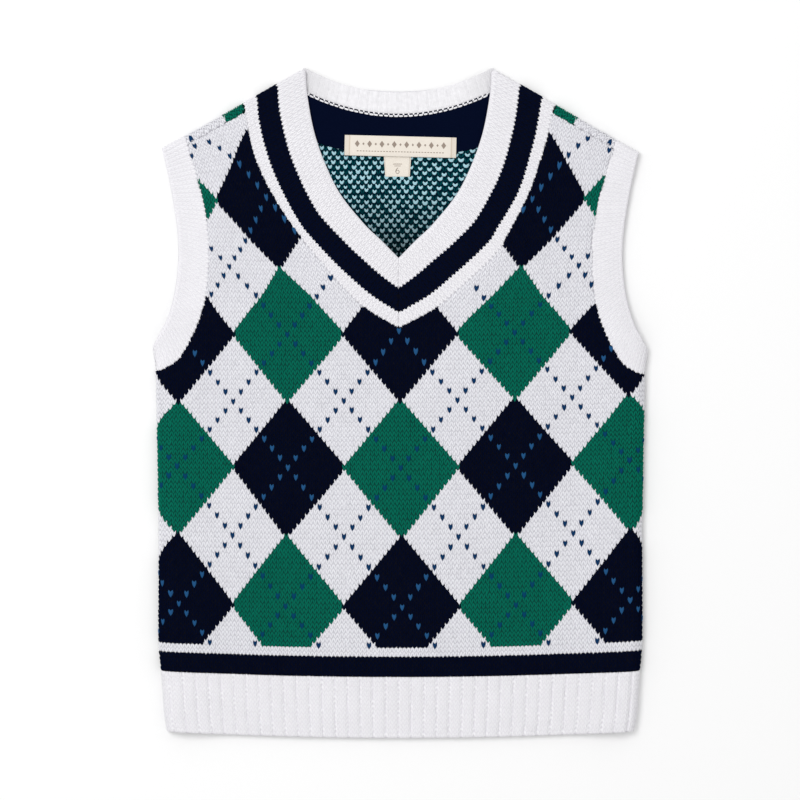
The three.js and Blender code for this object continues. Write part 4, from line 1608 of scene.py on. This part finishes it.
LOZENGES = 15
LOZENGE_PITCH = 4.2
row_of_lozenges = []
for place in range(LOZENGES):
    at_x = (place - (LOZENGES - 1) / 2) * LOZENGE_PITCH
    row_of_lozenges.append(lozenge(at_x, 1.2, 1.5, 1.9) if place % 2 else lozenge(at_x, 1.2, 3.3, 4.6))
dashes = [bar((place - 14.5) * 2.0, -3.7, 1.2, 0.5) for place in range(30)]
woven_marks("label_lozenges", LABEL, LABEL_TOP, row_of_lozenges + dashes)
six = ring_part(0, -4.9, 1.35, 0.4, 0, 360, 16) + ring_part(1.35, -4.6, 2.7, 0.4, 110, 185, 8)
woven_marks("size_number", SIZE_TAB, SIZE_TOP, six + [bar(0, 0.4, 6.0, 0.4), bar(0, -0.9, 4.4, 0.4)])


# What each sheet was cut or knitted to, in metres: its width, its length and its flat area
def flat_area(outline):
    after = np.roll(outline, -1, axis=0)
    return abs((outline[:, 0] * after[:, 1] - outline[:, 1] * after[:, 0]).sum()) / 2 * MM * MM


def declare(wall, width, length, area, under, with_pieces=()):
    flat = (width * MM, length * MM)
    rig.sheet(wall, flat=flat, area=area, held="laid", rests_on=under, with_pieces=list(with_pieces))


declare(front_wall, 360, 396, flat_area(front_outline), ["back_panel"], front_legs)
declare(back_wall, 352, 412, flat_area(back_outline), [], back_legs)
declare(hem_front, 352, 41.5, 0.352 * 0.0415, ["hem_rib_back"], hem_front_legs)
declare(hem_back, 338, 40.5, 0.338 * 0.0405, [], hem_back_legs)
declare(neck_wall, 570, 43, None, ["back_panel"], neck_legs)
declare(arm_left, 340, 19, None, [], arm_left_legs)
declare(arm_right, 340, 19, None, [], arm_right_legs)
declare(facing_wall, 132, 41, flat_area(facing_outline()), ["back_panel"], facing_legs)
declare(neck_tape, 76, 13.9, None, ["back_neck_facing"])
declare(size_tape, 19, 16.4, None, ["back_panel"])


def photo_camera():
    """Straight above, as the photograph was taken, with 0.68 mm to a pixel of its 800."""
    height = 2.2
    view_width = 0.68 * 800 * MM
    camera = bpy.data.cameras.new("camera")
    camera.sensor_width = 36
    camera.lens = camera.sensor_width * (height - FRONT_TOP * MM) / view_width
    made = bpy.data.objects.new("camera", camera)
    made.location = (*to_row(np.array([0.0, 229.8, 0.0]))[:2], height)
    bpy.context.scene.collection.objects.link(made)
    bpy.context.scene.camera = made


def soft_lamp(name, place, size, power):
    lamp = bpy.data.lights.new(name, "AREA")
    lamp.shape = "DISK"
    lamp.size = size
    lamp.energy = power
    made = bpy.data.objects.new(name, lamp)
    made.location = place
    made.rotation_euler = (-Vector(place)).to_track_quat("-Z", "Y").to_euler()
    bpy.context.scene.collection.objects.link(made)


def studio():
    world = bpy.data.worlds.new("studio")
    world.use_nodes = True
    world.node_tree.nodes["Background"].inputs["Color"].default_value = (1, 1, 1, 1)
    world.node_tree.nodes["Background"].inputs["Strength"].default_value = 0.77
    bpy.context.scene.world = world
    soft_lamp("key_light", (-0.8, 0.7, 1.9), 1.2, 19)
    bpy.context.scene.view_settings.view_transform = "Standard"
    half = 3.0
    mesh = bpy.data.meshes.new("floor")
    corners = [(-half, -half, 0), (half, -half, 0), (half, half, 0), (-half, half, 0)]
    mesh.from_pydata(corners, [], [(0, 1, 2, 3)])
    floor = bpy.data.objects.new("floor", mesh)
    floor.location.z = -0.0002
    bpy.context.scene.collection.objects.link(floor)
    dye = Dye("pale_floor")
    mesh.materials.append(dye.finish((0.93, 0.93, 0.93), 0.9, dye.noise(40.0), 0.0, sheen=0.0))
    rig.stage(floor)


photo_camera()
studio()

visual_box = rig.bounds()
with open("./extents.json", "w") as size_file:
    boxes = {"cad": cad_box, "visual": visual_box}
    json.dump({name: [list(corner) for corner in box] for name, box in boxes.items()}, size_file)
